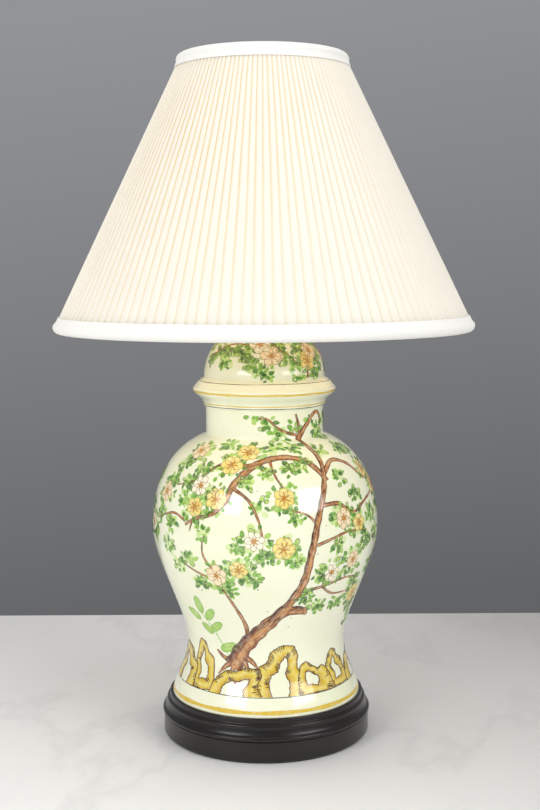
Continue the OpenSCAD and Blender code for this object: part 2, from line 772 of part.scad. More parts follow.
module switch_knob() {
    color([0.1, 0.08, 0.07])
    difference() {
        union() {
            switch_bar(knob_r - 1.2, knob_y, knob_y + knob_len - 1.5);
            switch_bar(knob_r, knob_y + 4, knob_y + knob_len - 1);
            switch_bar(knob_r - 1.5, knob_y + knob_len - 1.5, knob_y + knob_len);
        }
        switch_bar(switch_shaft_r + running_gap, knob_y - past, shaft_end + 0.3);
        for (i = [0:knob_flutes - 1])
        translate([0, 0, switch_z])
        rotate([0, i * 360 / knob_flutes, 0])
        translate([knob_r + 0.3, -knob_y - 3, 0])
        rotate([90, 0, 0])
        cylinder(r = 0.9, h = knob_len, $fn = 24);
    }
}

// Outline of the bulb's glass from its neck to its top
glass_neck_r = bulb_cap_r - thread_depth - 0.6;
bulb_shoulder = [bulb_cap_r + 0.6, glass_z + 8];
glass_outline = concat(
    [[glass_neck_r, glass_z], [glass_neck_r, glass_z + 4.3]],
    curve([glass_neck_r, glass_z + 4.3], [glass_neck_r + 1, glass_z + 6], bulb_shoulder - [0, 1],
        bulb_shoulder + [0.6, 3], 4),
    curve(bulb_shoulder + [0.6, 3], bulb_shoulder + [3.5, 17], [bulb_r, bulb_widest_z - 20],
        [bulb_r, bulb_widest_z]),
    arc([0, bulb_widest_z], bulb_r, 9, 88, 12));

module bulb_glass() {
    top = bulb_widest_z + bulb_r;
    color([0.97, 0.96, 0.92])
    rotate_extrude()
    polygon(concat(glass_outline, [[0, top], [0, top - glass_t]], turned(inward(glass_outline, glass_t))));
}

module bulb_cap() {
    crests = thread(bulb_cap_r, thread_z, bulb_cap_h - 5);
    collar_z = bulb_cap_z + bulb_cap_h;
    last = crests[len(crests) - 1];
    root = bulb_cap_r - thread_depth - 0.4;
    color([0.78, 0.78, 0.76])
    rotate_extrude()
    polygon(concat(
        [[root, bulb_cap_z]], crests,
        [[bulb_cap_r, collar_z], [root, collar_z], [root, last[1]]]));
}

module bulb_insulator() {
    color([0.05, 0.05, 0.06])
    translate([0, 0, bulb_z + bulb_tip_h])
    cylinder(r1 = 5.5, r2 = bulb_cap_r - 1.6, h = insulator_h + 1.5);
}

module bulb_tip() {
    color([0.75, 0.75, 0.74])
    rotate_extrude()
    polygon(concat([[0, bulb_z]], curve([0, bulb_z], [3, bulb_z], [4.6, bulb_z + 0.8], [4.6, bulb_z + bulb_tip_h], 6),
        [[0, bulb_z + bulb_tip_h]]));
}

stem_z = bulb_z + bulb_tip_h + insulator_h + 1.5;
stem_top = bulb_widest_z - 18;
filament_z = bulb_widest_z - 4;
filament_x = 12;

module bulb_stem() {
    color([0.85, 0.88, 0.88])
    rotate_extrude()
    polygon(concat(
        [[0, stem_z], [glass_neck_r - glass_t - 0.3, stem_z], [glass_neck_r - glass_t - 0.3, stem_z + 12]],
        curve([glass_neck_r - glass_t - 0.3, stem_z + 12], [5, stem_z + 14], [3, stem_z + 18], [2.6, stem_z + 26], 6),
        [[2.6, stem_top], [0, stem_top]]));
}

// Two support wires and the filament between them
module bulb_filament() {
    wire_r = 0.4;
    wire_foot = stem_top + wire_r + 0.1;
    spread = atan((filament_x - 1.6) / (filament_z - wire_foot));
    reach = norm([filament_x - 1.6, filament_z - wire_foot]);
    bow = 1.25 * filament_x;
    half_angle = asin(filament_x / bow);
    color([0.5, 0.5, 0.52])
    union() {
        for (side = [-1, 1])
        translate([side * 1.6, 0, wire_foot])
        rotate([0, side * spread, 0])
        cylinder(r = wire_r, h = reach, $fn = 24);
        translate([0, 0, stem_top]) cylinder(r = 2.2, h = 1);
        translate([0, 0, filament_z - bow * cos(half_angle)])
        rotate([90, 0, 0])
        rotate([0, 0, 90 - half_angle])
        rotate_extrude(angle = 2 * half_angle)
        translate([bow, 0])
        circle(r = wire_r, $fn = 24);
    }
}

// One arm of the spider, thicker by grow where it is used as a cut
module spider_arm(grow = 0) {
    arm_in = stud_flange_r + 0.8;
    arm_out = top_ring_r - ring_side - cloth_gap + grow;
    rise = top_ring_z - hub_z - hub_t / 2;
    run = arm_out - arm_in;
    translate([arm_in, 0, hub_z + hub_t / 2])
    rotate([0, 90 - atan(rise / run), 0])
    cylinder(r = arm_wire_r + grow, h = norm([run, rise]) - 0.3);
}

module shade_spider() {
    color([0.76, 0.6, 0.3])
    difference() {
        union() {
            translate([0, 0, hub_z]) cylinder(r = hub_r, h = hub_t);
            for (i = [0:2]) rotate([0, 0, 90 + 120 * i]) spider_arm();
        }
        translate([0, 0, hub_z - past]) cylinder(r = stud_r + running_gap, h = hub_t + 2 * past);
    }
}

module wire_ring(r, z) {
    translate([0, 0, z]) rotate_extrude() translate([r, 0]) circle(r = ring_wire_r);
}

module shade_top_ring() {
    color([0.9, 0.9, 0.88]) wire_ring(top_ring_r, top_ring_z);
}

module shade_bottom_ring() {
    color([0.9, 0.9, 0.88]) wire_ring(bottom_ring_r, bottom_ring_z);
}

module shade_ribs() {
    slant = norm([shade_h, bottom_ring_r - top_ring_r]);
    inset = ring_wire_r + cloth_gap;
    color([0.9, 0.9, 0.88])
    for (i = [0:rib_count - 1])
    rotate([0, 0, (i + 0.5) * 360 / rib_count])
    translate([bottom_ring_r, 0, bottom_ring_z])
    rotate([0, -lean, 0])
    translate([0, 0, inset])
    cylinder(r = rib_wire_r, h = slant - 2 * inset);
}

// A ring of folds: ridges at radius r, valleys deep inside them
function pleats(r, deep) =
    [for (i = [0:pleat_count - 1], k = [0, 1])
        let (a = 360 * (i + 0.5 * k) / pleat_count, q = r - (k == 0 ? 0 : deep))
        [q * cos(a), q * sin(a)]];

module shade_fabric() {
    color([0.98, 0.96, 0.9])
    translate([0, 0, fabric_z])
    linear_extrude(height = fabric_top - fabric_z, scale = top_pleat_r / bottom_pleat_r)
    difference() {
        polygon(pleats(bottom_pleat_r, pleat_depth));
        polygon(pleats(bottom_pleat_r - fabric_t, pleat_depth));
    }
}

// A plain cone of cloth inside the wires, below the spider's arms
module shade_liner() {
    low = fabric_z;
    high = top_ring_z - 5;
    color([0.97, 0.94, 0.86])
    rotate_extrude()
    polygon([
        [cone_r(low) + lining_out, low], [cone_r(high) + lining_out, high],
        [cone_r(high) + lining_in, high], [cone_r(low) + lining_in, low]]);
}

// Level distances from the frame's cone to the sides of a trim's slot
slot_out = fabric_out + cloth_gap;
slot_in = lining_in - cloth_gap;

// The roll round the bottom ring, with a flat edge up the fabric and one up the lining
module shade_bottom_trim() {
    c = [bottom_ring_r - 0.2, bottom_ring_z + 0.1];
    edge_z = bottom_ring_z + bottom_trim_h;
    slot_z = fabric_z - cloth_gap;
    floor_z = bottom_ring_z - ring_wire_r - cloth_gap;
    roll_up = 6.6;
    color([0.99, 0.98, 0.94])
    rotate_extrude()
    polygon(concat(
        [[cone_r(edge_z) + slot_out, edge_z], [cone_r(slot_z) + slot_out, slot_z],
         [bottom_ring_r + 1, floor_z], [bottom_ring_r - 1, floor_z],
         [cone_r(slot_z) + slot_in, slot_z], [cone_r(edge_z) + slot_in, edge_z],
         [cone_r(edge_z) + slot_in - trim_t, edge_z],
         [cone_r(c[1] + roll_up) + slot_in - trim_t, c[1] + roll_up]],
        arc(c, bottom_roll_r, 172, 382, 20),
        [[cone_r(c[1] + roll_up) + slot_out + trim_t, c[1] + roll_up],
         [cone_r(edge_z) + slot_out + trim_t, edge_z]]));
}

// The roll over the top ring, notched where the spider's arms come through
module shade_top_trim() {
    c = [top_ring_r + 0.4, top_ring_z - 0.3];
    edge_z = top_ring_z - top_trim_h;
    inner_edge_z = top_ring_z - 9;
    slot_z = fabric_top + cloth_gap;
    roof_z = top_ring_z + ring_wire_r + cloth_gap;
    // The flat edge runs into the roll where its outer side crosses the roll's circle
    side = cone_r(c[1]) + slot_out + trim_t - c[0];
    slope = 1 + taper * taper;
    meet = (side * taper - sqrt(max(0, slope * top_roll_r * top_roll_r - side * side))) / slope;
    color([0.99, 0.98, 0.94])
    difference() {
        rotate_extrude()
        polygon(concat(
            [[cone_r(edge_z) + slot_out, edge_z], [cone_r(edge_z) + slot_out + trim_t, edge_z]],
            arc(c, top_roll_r, asin(meet / top_roll_r), 190, 20),
            [[cone_r(inner_edge_z) + slot_in - trim_t, inner_edge_z], [cone_r(inner_edge_z) + slot_in, inner_edge_z],
             [cone_r(slot_z) + slot_in, slot_z], [top_ring_r - 1, roof_z], [top_ring_r + 1, roof_z],
             [cone_r(slot_z) + slot_out, slot_z]]));
        for (i = [0:2]) rotate([0, 0, 90 + 120 * i]) spider_arm(cloth_gap);
    }
}

// Turned ball and foot on a blind threaded hole
module finial() {
    bore_top = finial_z + stud_len - hub_t + 1.5;
    ball_z = finial_z + finial_h - finial_ball_r - 3;
    neck = 4.8;
    color([0.82, 0.66, 0.32])
    difference() {
        rotate_extrude()
        polygon(concat(
            [[0, finial_z], [finial_foot_r - 0.6, finial_z], [finial_foot_r, finial_z + 0.6],
             [finial_foot_r, finial_z + 1.6]],
            curve([finial_foot_r, finial_z + 1.6], [finial_foot_r - 1, finial_z + 3], [neck, finial_z + 3],
                [neck, finial_z + 5], 5),
            arc([0, ball_z], finial_ball_r, -50, 70, 12),
            [[2.2, ball_z + finial_ball_r - 0.2]],
            arc([0, finial_z + finial_h - 2.2], 2.2, -20, 90, 6)));
        translate([0, 0, finial_z - past]) cylinder(r = stud_r + running_gap, h = bore_top - finial_z + past);
    }
}

base_felt();
wood_base();
cord_bushing();
base_washer();
base_lock_washer();
base_locknut();
lamp_pipe();
jar_body();
jar_lid();
vase_cap();
top_locknut();
brass_neck();
harp_saddle();
harp_bow();
harp_stud();
harp_sleeve(-1);  // harp_sleeve_left
harp_sleeve(1);  // harp_sleeve_right
socket_cap();
cap_set_screw();
socket_shell();
socket_liner();
socket_body();
socket_screw_shell();
socket_contact();
terminal_screws();
switch_shaft();
switch_knob();
bulb_glass();
bulb_cap();
bulb_insulator();
bulb_tip();
bulb_stem();
bulb_filament();
shade_spider();
shade_top_ring();
shade_bottom_ring();
shade_ribs();
shade_fabric();
shade_liner();
shade_top_trim();
shade_bottom_trim();
finial();
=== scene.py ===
import functools
import math
import random

import bmesh
import bpy
import numpy as np
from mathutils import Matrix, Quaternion, Vector, noise


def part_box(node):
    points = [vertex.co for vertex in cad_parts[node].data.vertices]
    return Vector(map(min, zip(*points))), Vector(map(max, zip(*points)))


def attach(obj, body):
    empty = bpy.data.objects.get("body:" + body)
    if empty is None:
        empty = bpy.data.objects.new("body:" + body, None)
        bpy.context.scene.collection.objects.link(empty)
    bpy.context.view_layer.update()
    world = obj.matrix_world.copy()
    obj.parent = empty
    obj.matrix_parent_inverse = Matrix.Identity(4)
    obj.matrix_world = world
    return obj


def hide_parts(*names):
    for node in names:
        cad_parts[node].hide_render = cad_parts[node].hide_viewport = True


bl_info = {
    "name": "Table Lamp with Painted Jar",
    "version": (1, 0, 0),
    "blender": (4, 5, 0),
    "location": "View3D > Sidebar > Table Lamp",
    "description": "Dresses a table lamp: painted jar, turned base, pleated shade",
    "category": "Object",
}

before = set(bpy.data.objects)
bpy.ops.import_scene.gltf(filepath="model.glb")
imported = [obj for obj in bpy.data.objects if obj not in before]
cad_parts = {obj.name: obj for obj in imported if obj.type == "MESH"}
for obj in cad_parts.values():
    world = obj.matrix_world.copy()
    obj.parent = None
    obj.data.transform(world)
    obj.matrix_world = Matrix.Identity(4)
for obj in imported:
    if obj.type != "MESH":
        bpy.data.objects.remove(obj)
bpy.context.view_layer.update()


def ink(red, green, blue):
    """A colour from 0 to 255 a channel, as the linear numbers that shaders use."""
    return tuple(
        c / 3294.6 if c <= 10 else ((c / 255 + 0.055) / 1.055) ** 2.4
        for c in (red, green, blue)
    )


def wire_ring(node):
    """Radius and height of the middle of a wire ring of the frame."""
    low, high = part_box(node)
    wire = (high.z - low.z) / 2
    return high.x - wire, (high.z + low.z) / 2


def length_prop(name, description, default):
    return bpy.props.FloatProperty(
        name=name, description=description, default=default, min=0, subtype="DISTANCE", unit="LENGTH"
    )


def colour_prop(name, description, default):
    return bpy.props.FloatVectorProperty(
        name=name, description=description, default=default, size=3, min=0, max=1, subtype="COLOR"
    )


def amount_prop(name, description, default, high=10.0):
    return bpy.props.FloatProperty(
        name=name, description=description, default=default, min=0, max=high, subtype="FACTOR"
    )


def angle_prop(name, description, default):
    return bpy.props.FloatProperty(
        name=name, description=description, default=default, subtype="ANGLE", unit="ROTATION"
    )


def count_prop(name, description, default, low, high):
    return bpy.props.IntProperty(name=name, description=description, default=default, min=low, max=high)


JAR_LOW, JAR_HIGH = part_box("jar_body")
TOP_RING = wire_ring("shade_top_ring")
BOTTOM_RING = wire_ring("shade_bottom_ring")


class JarSizes(bpy.types.PropertyGroup):
    foot_radius: length_prop("Foot radius", "Radius of the jar's foot", 0.1075)
    waist_radius: length_prop("Waist radius", "Radius at the waist", 0.0898)
    waist_height: length_prop("Waist height", "Height of the waist above the foot", 0.064)
    belly_radius: length_prop("Belly radius", "Radius at the belly", 0.1282)
    belly_height: length_prop("Belly height", "Height of the belly above the foot", 0.196)
    neck_radius: length_prop("Neck radius", "Radius of the neck", 0.0664)
    shoulder_height: length_prop("Shoulder height", "Height of the neck's root above the foot", 0.299)
    wall: length_prop("Wall", "Thickness of the jar's wall", 0.007)
    rim_radius: length_prop("Rim radius", "Radius of the lid's rim", 0.0808)
    rim_height: length_prop("Rim height", "Height of the rim's middle above the seat", 0.0184)
    rim_round: length_prop("Rim rounding", "Rounding of the lid's rim", 0.0042)
    dome_foot: length_prop("Dome foot", "Height of the dome's foot above the seat", 0.032)
    dome_radius: length_prop("Dome radius", "Radius of the lid's dome", 0.0684)
    dome_height: length_prop("Dome height", "Height of the dome as a full oval", 0.063)
    cap_radius: length_prop("Flat radius", "Radius of the flat under the vase cap", 0.027)
    glaze: colour_prop("Glaze", "Colour of the glaze", ink(247, 248, 223))
    glaze_pool: colour_prop("Pooled glaze", "Colour where the glaze lies thick", ink(232, 238, 192))
    gold: colour_prop("Gold band", "Colour of the gold bands", ink(226, 192, 70))
    line: colour_prop("Line", "Colour of the thin dark lines", ink(58, 56, 40))


class PaintColours(bpy.types.PropertyGroup):
    leaf_wash: colour_prop("Leaf wash", "Palest leaf colour", ink(196, 226, 122))
    leaf: colour_prop("Leaf", "Middle leaf colour", ink(124, 186, 60))
    leaf_dark: colour_prop("Dark leaf", "Darkest leaf colour", ink(66, 128, 44))
    vein: colour_prop("Leaf line", "Colour of the lines on leaves", ink(38, 54, 28))
    bark: colour_prop("Bark", "Middle bark colour", ink(164, 98, 56))
    bark_dark: colour_prop("Dark bark", "Bark in the shade", ink(86, 42, 30))
    bark_light: colour_prop("Light bark", "Bark in the light", ink(216, 160, 98))
    ochre: colour_prop("Rock", "Colour of the rocks", ink(230, 202, 72))
    ochre_shade: colour_prop("Rock shade", "Shaded side of the rocks", ink(200, 152, 44))
    rock_line: colour_prop("Rock line", "Outline of the rocks", ink(88, 58, 32))
    cream: colour_prop("Cream petal", "Colour of the pale blossoms", ink(253, 248, 222))
    yellow: colour_prop("Yellow petal", "Colour of the yellow blossoms", ink(246, 224, 118))
    peach: colour_prop("Peach petal", "Colour of the peach blossoms", ink(250, 228, 184))
    heart: colour_prop("Blossom heart", "Strokes in the middle of a blossom", ink(198, 138, 46))
    seed: count_prop("Seed", "Start of the random brush work", 11, 0, 10000)
    leaf_size: length_prop("Leaf size", "Half the length of a leaf", 0.0028)
    fullness: amount_prop("Fullness", "Leaves in a cluster, as a share of the counts listed", 1.3, 3.0)
    blossom_size: length_prop("Blossom size", "Radius of a blossom", 0.0112)


class ShadeSizes(bpy.types.PropertyGroup):
    top_radius: length_prop("Top radius", "Radius of the top ring", TOP_RING[0])
    top_height: length_prop("Top height", "Height of the top ring", TOP_RING[1])
    bottom_radius: length_prop("Bottom radius", "Radius of the bottom ring", BOTTOM_RING[0])
    bottom_height: length_prop("Bottom height", "Height of the bottom ring", BOTTOM_RING[1])
    pleats: count_prop("Pleats", "Number of pleats", 128, 16, 240)
    pleat_depth: length_prop("Pleat depth", "Depth of a pleat at the bottom", 0.0016)
    top_depth: length_prop("Top pleat depth", "Depth of a pleat at the top", 0.0006)
    cloth: colour_prop("Cloth", "Colour of the pleated cloth", ink(228, 222, 211))
    # The fold colour is painted shade, laid into the pleats' folds
    fold: colour_prop("Fold", "Colour of the cloth in its folds", ink(206, 174, 92))
    lining: colour_prop("Lining", "Colour of the lining", ink(247, 243, 230))
    trim: colour_prop("Trim", "Colour of the rolled trims", ink(241, 240, 235))
    glow: amount_prop("Glow", "Light that comes through the cloth", 0.07)


class LampFinishes(bpy.types.PropertyGroup):
    wood: colour_prop("Wood", "Colour of the dark wood", ink(17, 13, 12))
    wood_worn: colour_prop("Worn wood", "Colour of the wood where it is rubbed", ink(38, 27, 22))
    brass: colour_prop("Brass", "Colour of the brass", ink(222, 184, 104))
    zinc: colour_prop("Zinc", "Colour of the plated steel", ink(200, 200, 196))
    glow_colour: colour_prop("Bulb colour", "Colour of the bulb's light", ink(255, 217, 140))
    glow_strength: amount_prop("Bulb strength", "Strength of the bulb's light", 8.5, 100.0)


class StudioSizes(bpy.types.PropertyGroup):
    camera_distance: length_prop("Camera distance", "Distance of the camera from the lamp", 1.4397)
    camera_height: length_prop("Camera height", "Height of the camera", 0.5346)
    camera_side: length_prop("Camera side", "How far the camera stands to the right", 0.0063)
    camera_pitch: angle_prop("Camera pitch", "How far the camera looks down", 0.1099)
    camera_roll: angle_prop("Camera roll", "How far the camera is tipped", -0.0052)
    lens: bpy.props.FloatProperty(
        name="Lens", description="Focal length", default=56.77, subtype="DISTANCE_CAMERA"
    )
    floor_back: length_prop("Floor depth", "How far the floor runs behind the lamp", 0.475)
    floor: colour_prop("Floor", "Colour of the floor", ink(253, 253, 253))
    backdrop_low: colour_prop("Backdrop, low", "Backdrop colour near the floor", ink(99, 100, 102))
    backdrop_high: colour_prop("Backdrop, high", "Backdrop colour at the top", ink(147, 148, 151))
    room_light: amount_prop("Room light", "Strength of the light from all round", 0.6)
    softbox_power: bpy.props.FloatProperty(
        name="Softbox power", description="Power of each softbox", default=9.1, min=0, unit="POWER"
    )


# Shaders


def plug(tree, entry, value):
    """Puts a number, a colour or another node's output into a socket."""
    if isinstance(value, Socket):
        tree.links.new(value.output, entry)
    elif entry.type == "RGBA" and len(value) == 3:
        entry.default_value = (*value, 1)
    else:
        entry.default_value = value


class Socket:
    """A node's output. Sums on it add Math nodes, so 1 - mask reads as it works."""

    def __init__(self, tree, output):
        self.tree, self.output = tree, output

    def maths(self, operation, *values):
        step = self.tree.nodes.new("ShaderNodeMath")
        step.operation = operation
        for entry, value in zip(step.inputs, values):
            plug(self.tree, entry, value)
        return Socket(self.tree, step.outputs[0])

    def __add__(self, other):
        return self.maths("ADD", self, other)

    def __sub__(self, other):
        return self.maths("SUBTRACT", self, other)

    def __rsub__(self, other):
        return self.maths("SUBTRACT", other, self)

    def __mul__(self, other):
        return self.maths("MULTIPLY", self, other)

    def __truediv__(self, other):
        return self.maths("DIVIDE", self, other)

    def __pow__(self, other):
        return self.maths("POWER", self, other)

    __radd__ = __add__
    __rmul__ = __mul__

    def sine(self):
        return self.maths("SINE", self)

    def size(self):
        return self.maths("ABSOLUTE", self)

    def above(self, other):
        return self.maths("MAXIMUM", self, other)

    def clipped(self):
        return self.maths("MINIMUM", self.above(0.0), 1.0)


class Bench:
    """A node tree in the making."""

    def __init__(self, tree):
        self.tree = tree
        tree.nodes.clear()

    def node(self, kind, settings=None, values=None, output=0):
        """Adds a node: its settings first, then its values and links. Gives back one of its outputs."""
        made = self.tree.nodes.new("ShaderNode" + kind)
        for name, value in (settings or {}).items():
            setattr(made, name, value)
        for name, value in (values or {}).items():
            plug(self.tree, made.inputs[name], value)
        return Socket(self.tree, made.outputs[output]) if made.outputs else None

    def place(self):
        return self.node("TexCoord", output="Object")

    def noise(self, scale, detail=3.0, stretch=(1, 1, 1), roughness=0.55):
        spot = self.node("Mapping", values={"Vector": self.place(), "Scale": stretch})
        return self.node(
            "TexNoise", values={"Vector": spot, "Scale": scale, "Detail": detail, "Roughness": roughness}
        )

    def blend(self, factor, first, second):
        """From the first colour at 0 to the second at 1."""
        return self.node("Mix", {"data_type": "RGBA"}, {0: factor, 6: first, 7: second}, output=2)

    def band(self, value, low, high):
        """0 up to low, 1 from high."""
        return ((value - low) / (high - low)).clipped()

    def axis(self, name, place=None):
        """One axis of a vector, or else of the place on the object."""
        return self.node("SeparateXYZ", values={0: place or self.place()}, output=name)


class Finish(Bench):
    """A material with one principled shader."""

    def __init__(self, name, values=None):
        self.material = bpy.data.materials.new(name)
        self.material.use_nodes = True
        super().__init__(self.material.node_tree)
        shader = self.node("BsdfPrincipled", values=values)
        self.node("OutputMaterial", values={"Surface": shader})
        self.shader = shader.output.node

    def set(self, socket, value):
        plug(self.tree, self.shader.inputs[socket], value)

    def bump(self, height, distance, strength=1.0):
        values = {"Height": height, "Distance": distance, "Strength": strength}
        self.set("Normal", self.node("Bump", values=values))


def metal(name, bright, dull, roughness, stretch=(1, 1, 1)):
    made = Finish(name, {"Metallic": 1.0})
    cloud = made.noise(38, 4)
    hair = made.noise(420, 2, stretch)
    made.set("Base Color", made.blend(made.band(cloud, 0.35, 0.75), bright, dull))
    made.set("Roughness", roughness + cloud * 0.16 + hair * 0.1 - 0.1)
    made.bump(hair, 0.00002, 0.5)
    return made.material


def moulded(name, colour, roughness, scale=260, values=None):
    made = Finish(name, values)
    grain = made.noise(scale, 3)
    light = tuple(min(1, c * 1.5 + 0.004) for c in colour)
    made.set("Base Color", made.blend(grain, colour, light))
    made.set("Roughness", roughness + grain * 0.14 - 0.07)
    made.bump(grain, 0.00004, 0.6)
    return made.material


def dark_wood(looks):
    lacquer = {"Coat Weight": 0.4, "Coat Roughness": 0.32, "Specular IOR Level": 0.32}
    made = Finish("Turned dark wood", lacquer)
    grain = made.noise(46, 5, (0.16, 1, 1), 0.62)
    pores = made.noise(430, 2, (0.08, 1, 1))
    rub = made.noise(14, 3)
    tone = made.band(grain, 0.35, 0.8) * 0.45 + made.band(rub, 0.5, 0.8) * 0.25
    made.set("Base Color", made.blend(tone, looks.wood, looks.wood_worn))
    made.set("Roughness", 0.22 + grain * 0.08 + rub * 0.08)
    made.bump(pores * 0.6 + grain * 0.4, 0.00005, 0.5)
    return made.material


# The clear glaze over the jar's ground and over its painting
GLASSY = {"Coat Weight": 0.5, "Coat Roughness": 0.03, "Specular IOR Level": 0.5}


def glaze(jar):
    made = Finish("Cream glaze", GLASSY)
    cloud = made.noise(9, 3)
    fine = made.noise(130, 4)
    specks = made.noise(520, 1)
    pool = made.band(cloud, 0.42, 0.72) * 0.4 + made.band(fine, 0.5, 0.8) * 0.18
    colour = made.blend(pool, jar.glaze, jar.glaze_pool)
    made.set("Base Color", made.blend(made.band(specks, 0.76, 0.8) * 0.35, colour, ink(150, 140, 96)))
    made.set("Roughness", 0.1 + fine * 0.06)
    made.bump(made.noise(52, 2), 0.00022, 0.35)
    return made.material


def brush_paint(jar):
    made = Finish("Brush paint", GLASSY)
    pigment = made.node("Attribute", {"attribute_name": "pigment"})
    streak = made.noise(240, 3)
    pool = made.noise(620, 2)
    thin = made.blend(made.band(streak, 0.42, 0.78) * 0.28, pigment, jar.glaze)
    dark = made.node("HueSaturation", values={"Value": 0.82, "Saturation": 1.08, "Color": thin})
    made.set("Base Color", made.blend(made.band(pool, 0.4, 0.7) * 0.36, thin, dark))
    made.set("Roughness", 0.08 + streak * 0.08)
    return made.material


def woven(name, colour, shade_colour, thread, relief):
    """Plain weave on the piece's own UV map, in metres."""
    made = Finish(name, {"Roughness": 0.86, "Sheen Weight": 0.15})
    uv = made.node("UVMap", {"uv_map": "cloth"})
    across, along = ((made.axis(name, uv) * (math.tau / thread)).sine() for name in ("X", "Y"))
    weave = across * along * 0.5 + 0.5
    slub = made.noise(60, 4, (1, 1, 0.2))
    made.cloth = made.blend(weave * 0.12 + made.band(slub, 0.45, 0.8) * 0.2, colour, shade_colour)
    made.set("Base Color", made.cloth)
    made.bump(weave + slub * 0.6, relief, 0.6)
    return made


def pleated_cloth(shade):
    """Cloth with painted shade in its folds, strongest on the left and towards the top, and a warm painted
    glow that is strongest in its folds.
    """
    made = woven("Pleated cloth", shade.cloth, ink(244, 238, 222), 0.0007, 0.00004)
    fold = made.node("Attribute", {"attribute_name": "fold"}, output="Fac")
    weak = made.noise(7, 2)
    height = made.axis("Z")
    # Painted shade: the folds are darkened most on the lamp's left and least on its right
    left_fold_shade = 1 - made.band(made.axis("X"), -0.12, 0.1) * 0.72
    # Painted shade in the folds, made patchy by noise and stronger from 0.47 m up to 0.66 m and above
    depth = (fold * left_fold_shade * (0.3 + weak * 0.7) * (0.3 + made.band(height, 0.47, 0.66))).clipped()
    made.set("Base Color", made.blend(depth, made.cloth, shade.fold))
    # Painted glow: the emission is warmer in the folds and in a band round 0.6 m up
    warm = 1 - ((height - 0.6) * 6) ** 2.0
    warmth = (fold * 0.8 + warm.clipped() * 0.35).clipped()
    made.set("Emission Color", made.blend(warmth, ink(255, 250, 236), ink(255, 226, 150)))
    made.set("Emission Strength", shade.glow)
    return made.material


def bulb_glass(looks):
    made = Finish("Lit frosted glass", {"Emission Strength": looks.glow_strength})
    frost = made.noise(300, 3)
    made.set("Base Color", made.blend(frost, ink(250, 246, 236), ink(238, 232, 218)))
    made.set("Roughness", 0.45 + frost * 0.2)
    neck = made.band(made.axis("Z"), 0.56, 0.62)
    made.set("Emission Color", made.blend(neck, ink(255, 190, 110), looks.glow_colour))
    return made.material


def marble(studio):
    """The floor's pale stone, which loses light towards its far edge and its right."""
    made = Finish("Pale marble", {"Roughness": 0.5})
    cloud = made.noise(3.5, 5, (1, 0.6, 1), 0.6)
    vein = (made.noise(2.6, 6, (1, 0.55, 1), 0.62) - 0.5).size()
    depth = made.band(made.axis("Y"), -0.6, studio.floor_back)
    grey = mixed(studio.floor, (0, 0, 0), 0.2)
    stone = made.blend(made.band(cloud, 0.4, 0.75) * 0.25, studio.floor, grey)
    veined = made.blend((1 - made.band(vein, 0.0, 0.03)) * 0.12, stone, ink(150, 152, 156))
    side = made.band(made.axis("X"), 0.0, 0.8)
    made.set("Base Color", made.blend((depth * 0.38 + side * 0.66).clipped(), veined, ink(150, 149, 147)))
    return made.material


def felt():
    made = Finish("Felt", {"Roughness": 0.95, "Sheen Weight": 0.4})
    fibre = made.noise(900, 5, (1, 1, 1), 0.7)
    made.set("Base Color", made.blend(made.band(fibre, 0.3, 0.7), ink(26, 38, 28), ink(58, 74, 58)))
    made.bump(fibre, 0.0003, 0.8)
    return made.material


@functools.cache
def finishes():
    """Every material of the lamp, made once."""
    scene = bpy.context.scene
    jar, looks, shade = scene.lamp_jar, scene.lamp_finishes, scene.lamp_shade
    brass = tuple(looks.brass)
    dull = tuple(c * f for c, f in zip(brass, (0.72, 0.62, 0.5)))
    return {
        "wood": dark_wood(looks),
        "glaze": glaze(jar),
        "paint": brush_paint(jar),
        "brass": metal("Turned brass", brass, dull, 0.2),
        "plate": metal("Brass plate", brass, dull, 0.27, (1, 1, 0.1)),
        "socket": metal("Spun brass", brass, dull, 0.24, (1, 1, 8)),
        "zinc": metal("Zinc plate", looks.zinc, ink(150, 150, 148), 0.34),
        "aluminium": metal("Cap aluminium", ink(214, 214, 212), ink(170, 170, 170), 0.3, (1, 1, 6)),
        "filament": metal("Filament wire", ink(150, 150, 152), ink(96, 96, 98), 0.4),
        "bushing": moulded("Black plastic", ink(20, 20, 20), 0.42),
        "phenolic": moulded("Brown phenolic", ink(58, 36, 26), 0.4, 180),
        "board": moulded("Fibre board", ink(150, 116, 74), 0.8, 420),
        "insulator": moulded("Black glass", ink(10, 10, 14), 0.12, 120, {"Coat Weight": 0.6}),
        "stem": moulded("Clear glass stem", ink(206, 216, 214), 0.08, 90, {"Coat Weight": 0.5}),
        "enamel": moulded("White enamel", ink(236, 234, 226), 0.36, 300),
        "bulb": bulb_glass(looks),
        "felt": felt(),
        "cloth": pleated_cloth(shade),
        "lining": woven("Lining cloth", shade.lining, ink(236, 226, 202), 0.0005, 0.00003).material,
        "trim": woven("Trim cloth", shade.trim, ink(230, 226, 216), 0.0006, 0.00004).material,
    }


# Meshes


def curve(start, leave, reach, end, steps):
    """Points of a cubic curve, its start left out. Its handles are given from its start and its end."""
    start, end = np.array(start, float), np.array(end, float)
    points = np.array([start, start + leave, end + reach, end])
    made = []
    for i in range(1, steps + 1):
        t = i / steps
        shares = np.array([(1 - t) ** 3, 3 * (1 - t) ** 2 * t, 3 * (1 - t) * t * t, t ** 3])
        made.append(tuple(shares @ points))
    return made


def arc(centre, radius, start, end, steps, tall=1.0):
    """Points of an arc between two angles in degrees; tall stretches it upwards."""
    angles = np.radians(np.linspace(start, end, steps + 1))
    return [(centre[0] + radius * math.cos(a), centre[1] + radius * tall * math.sin(a)) for a in angles]


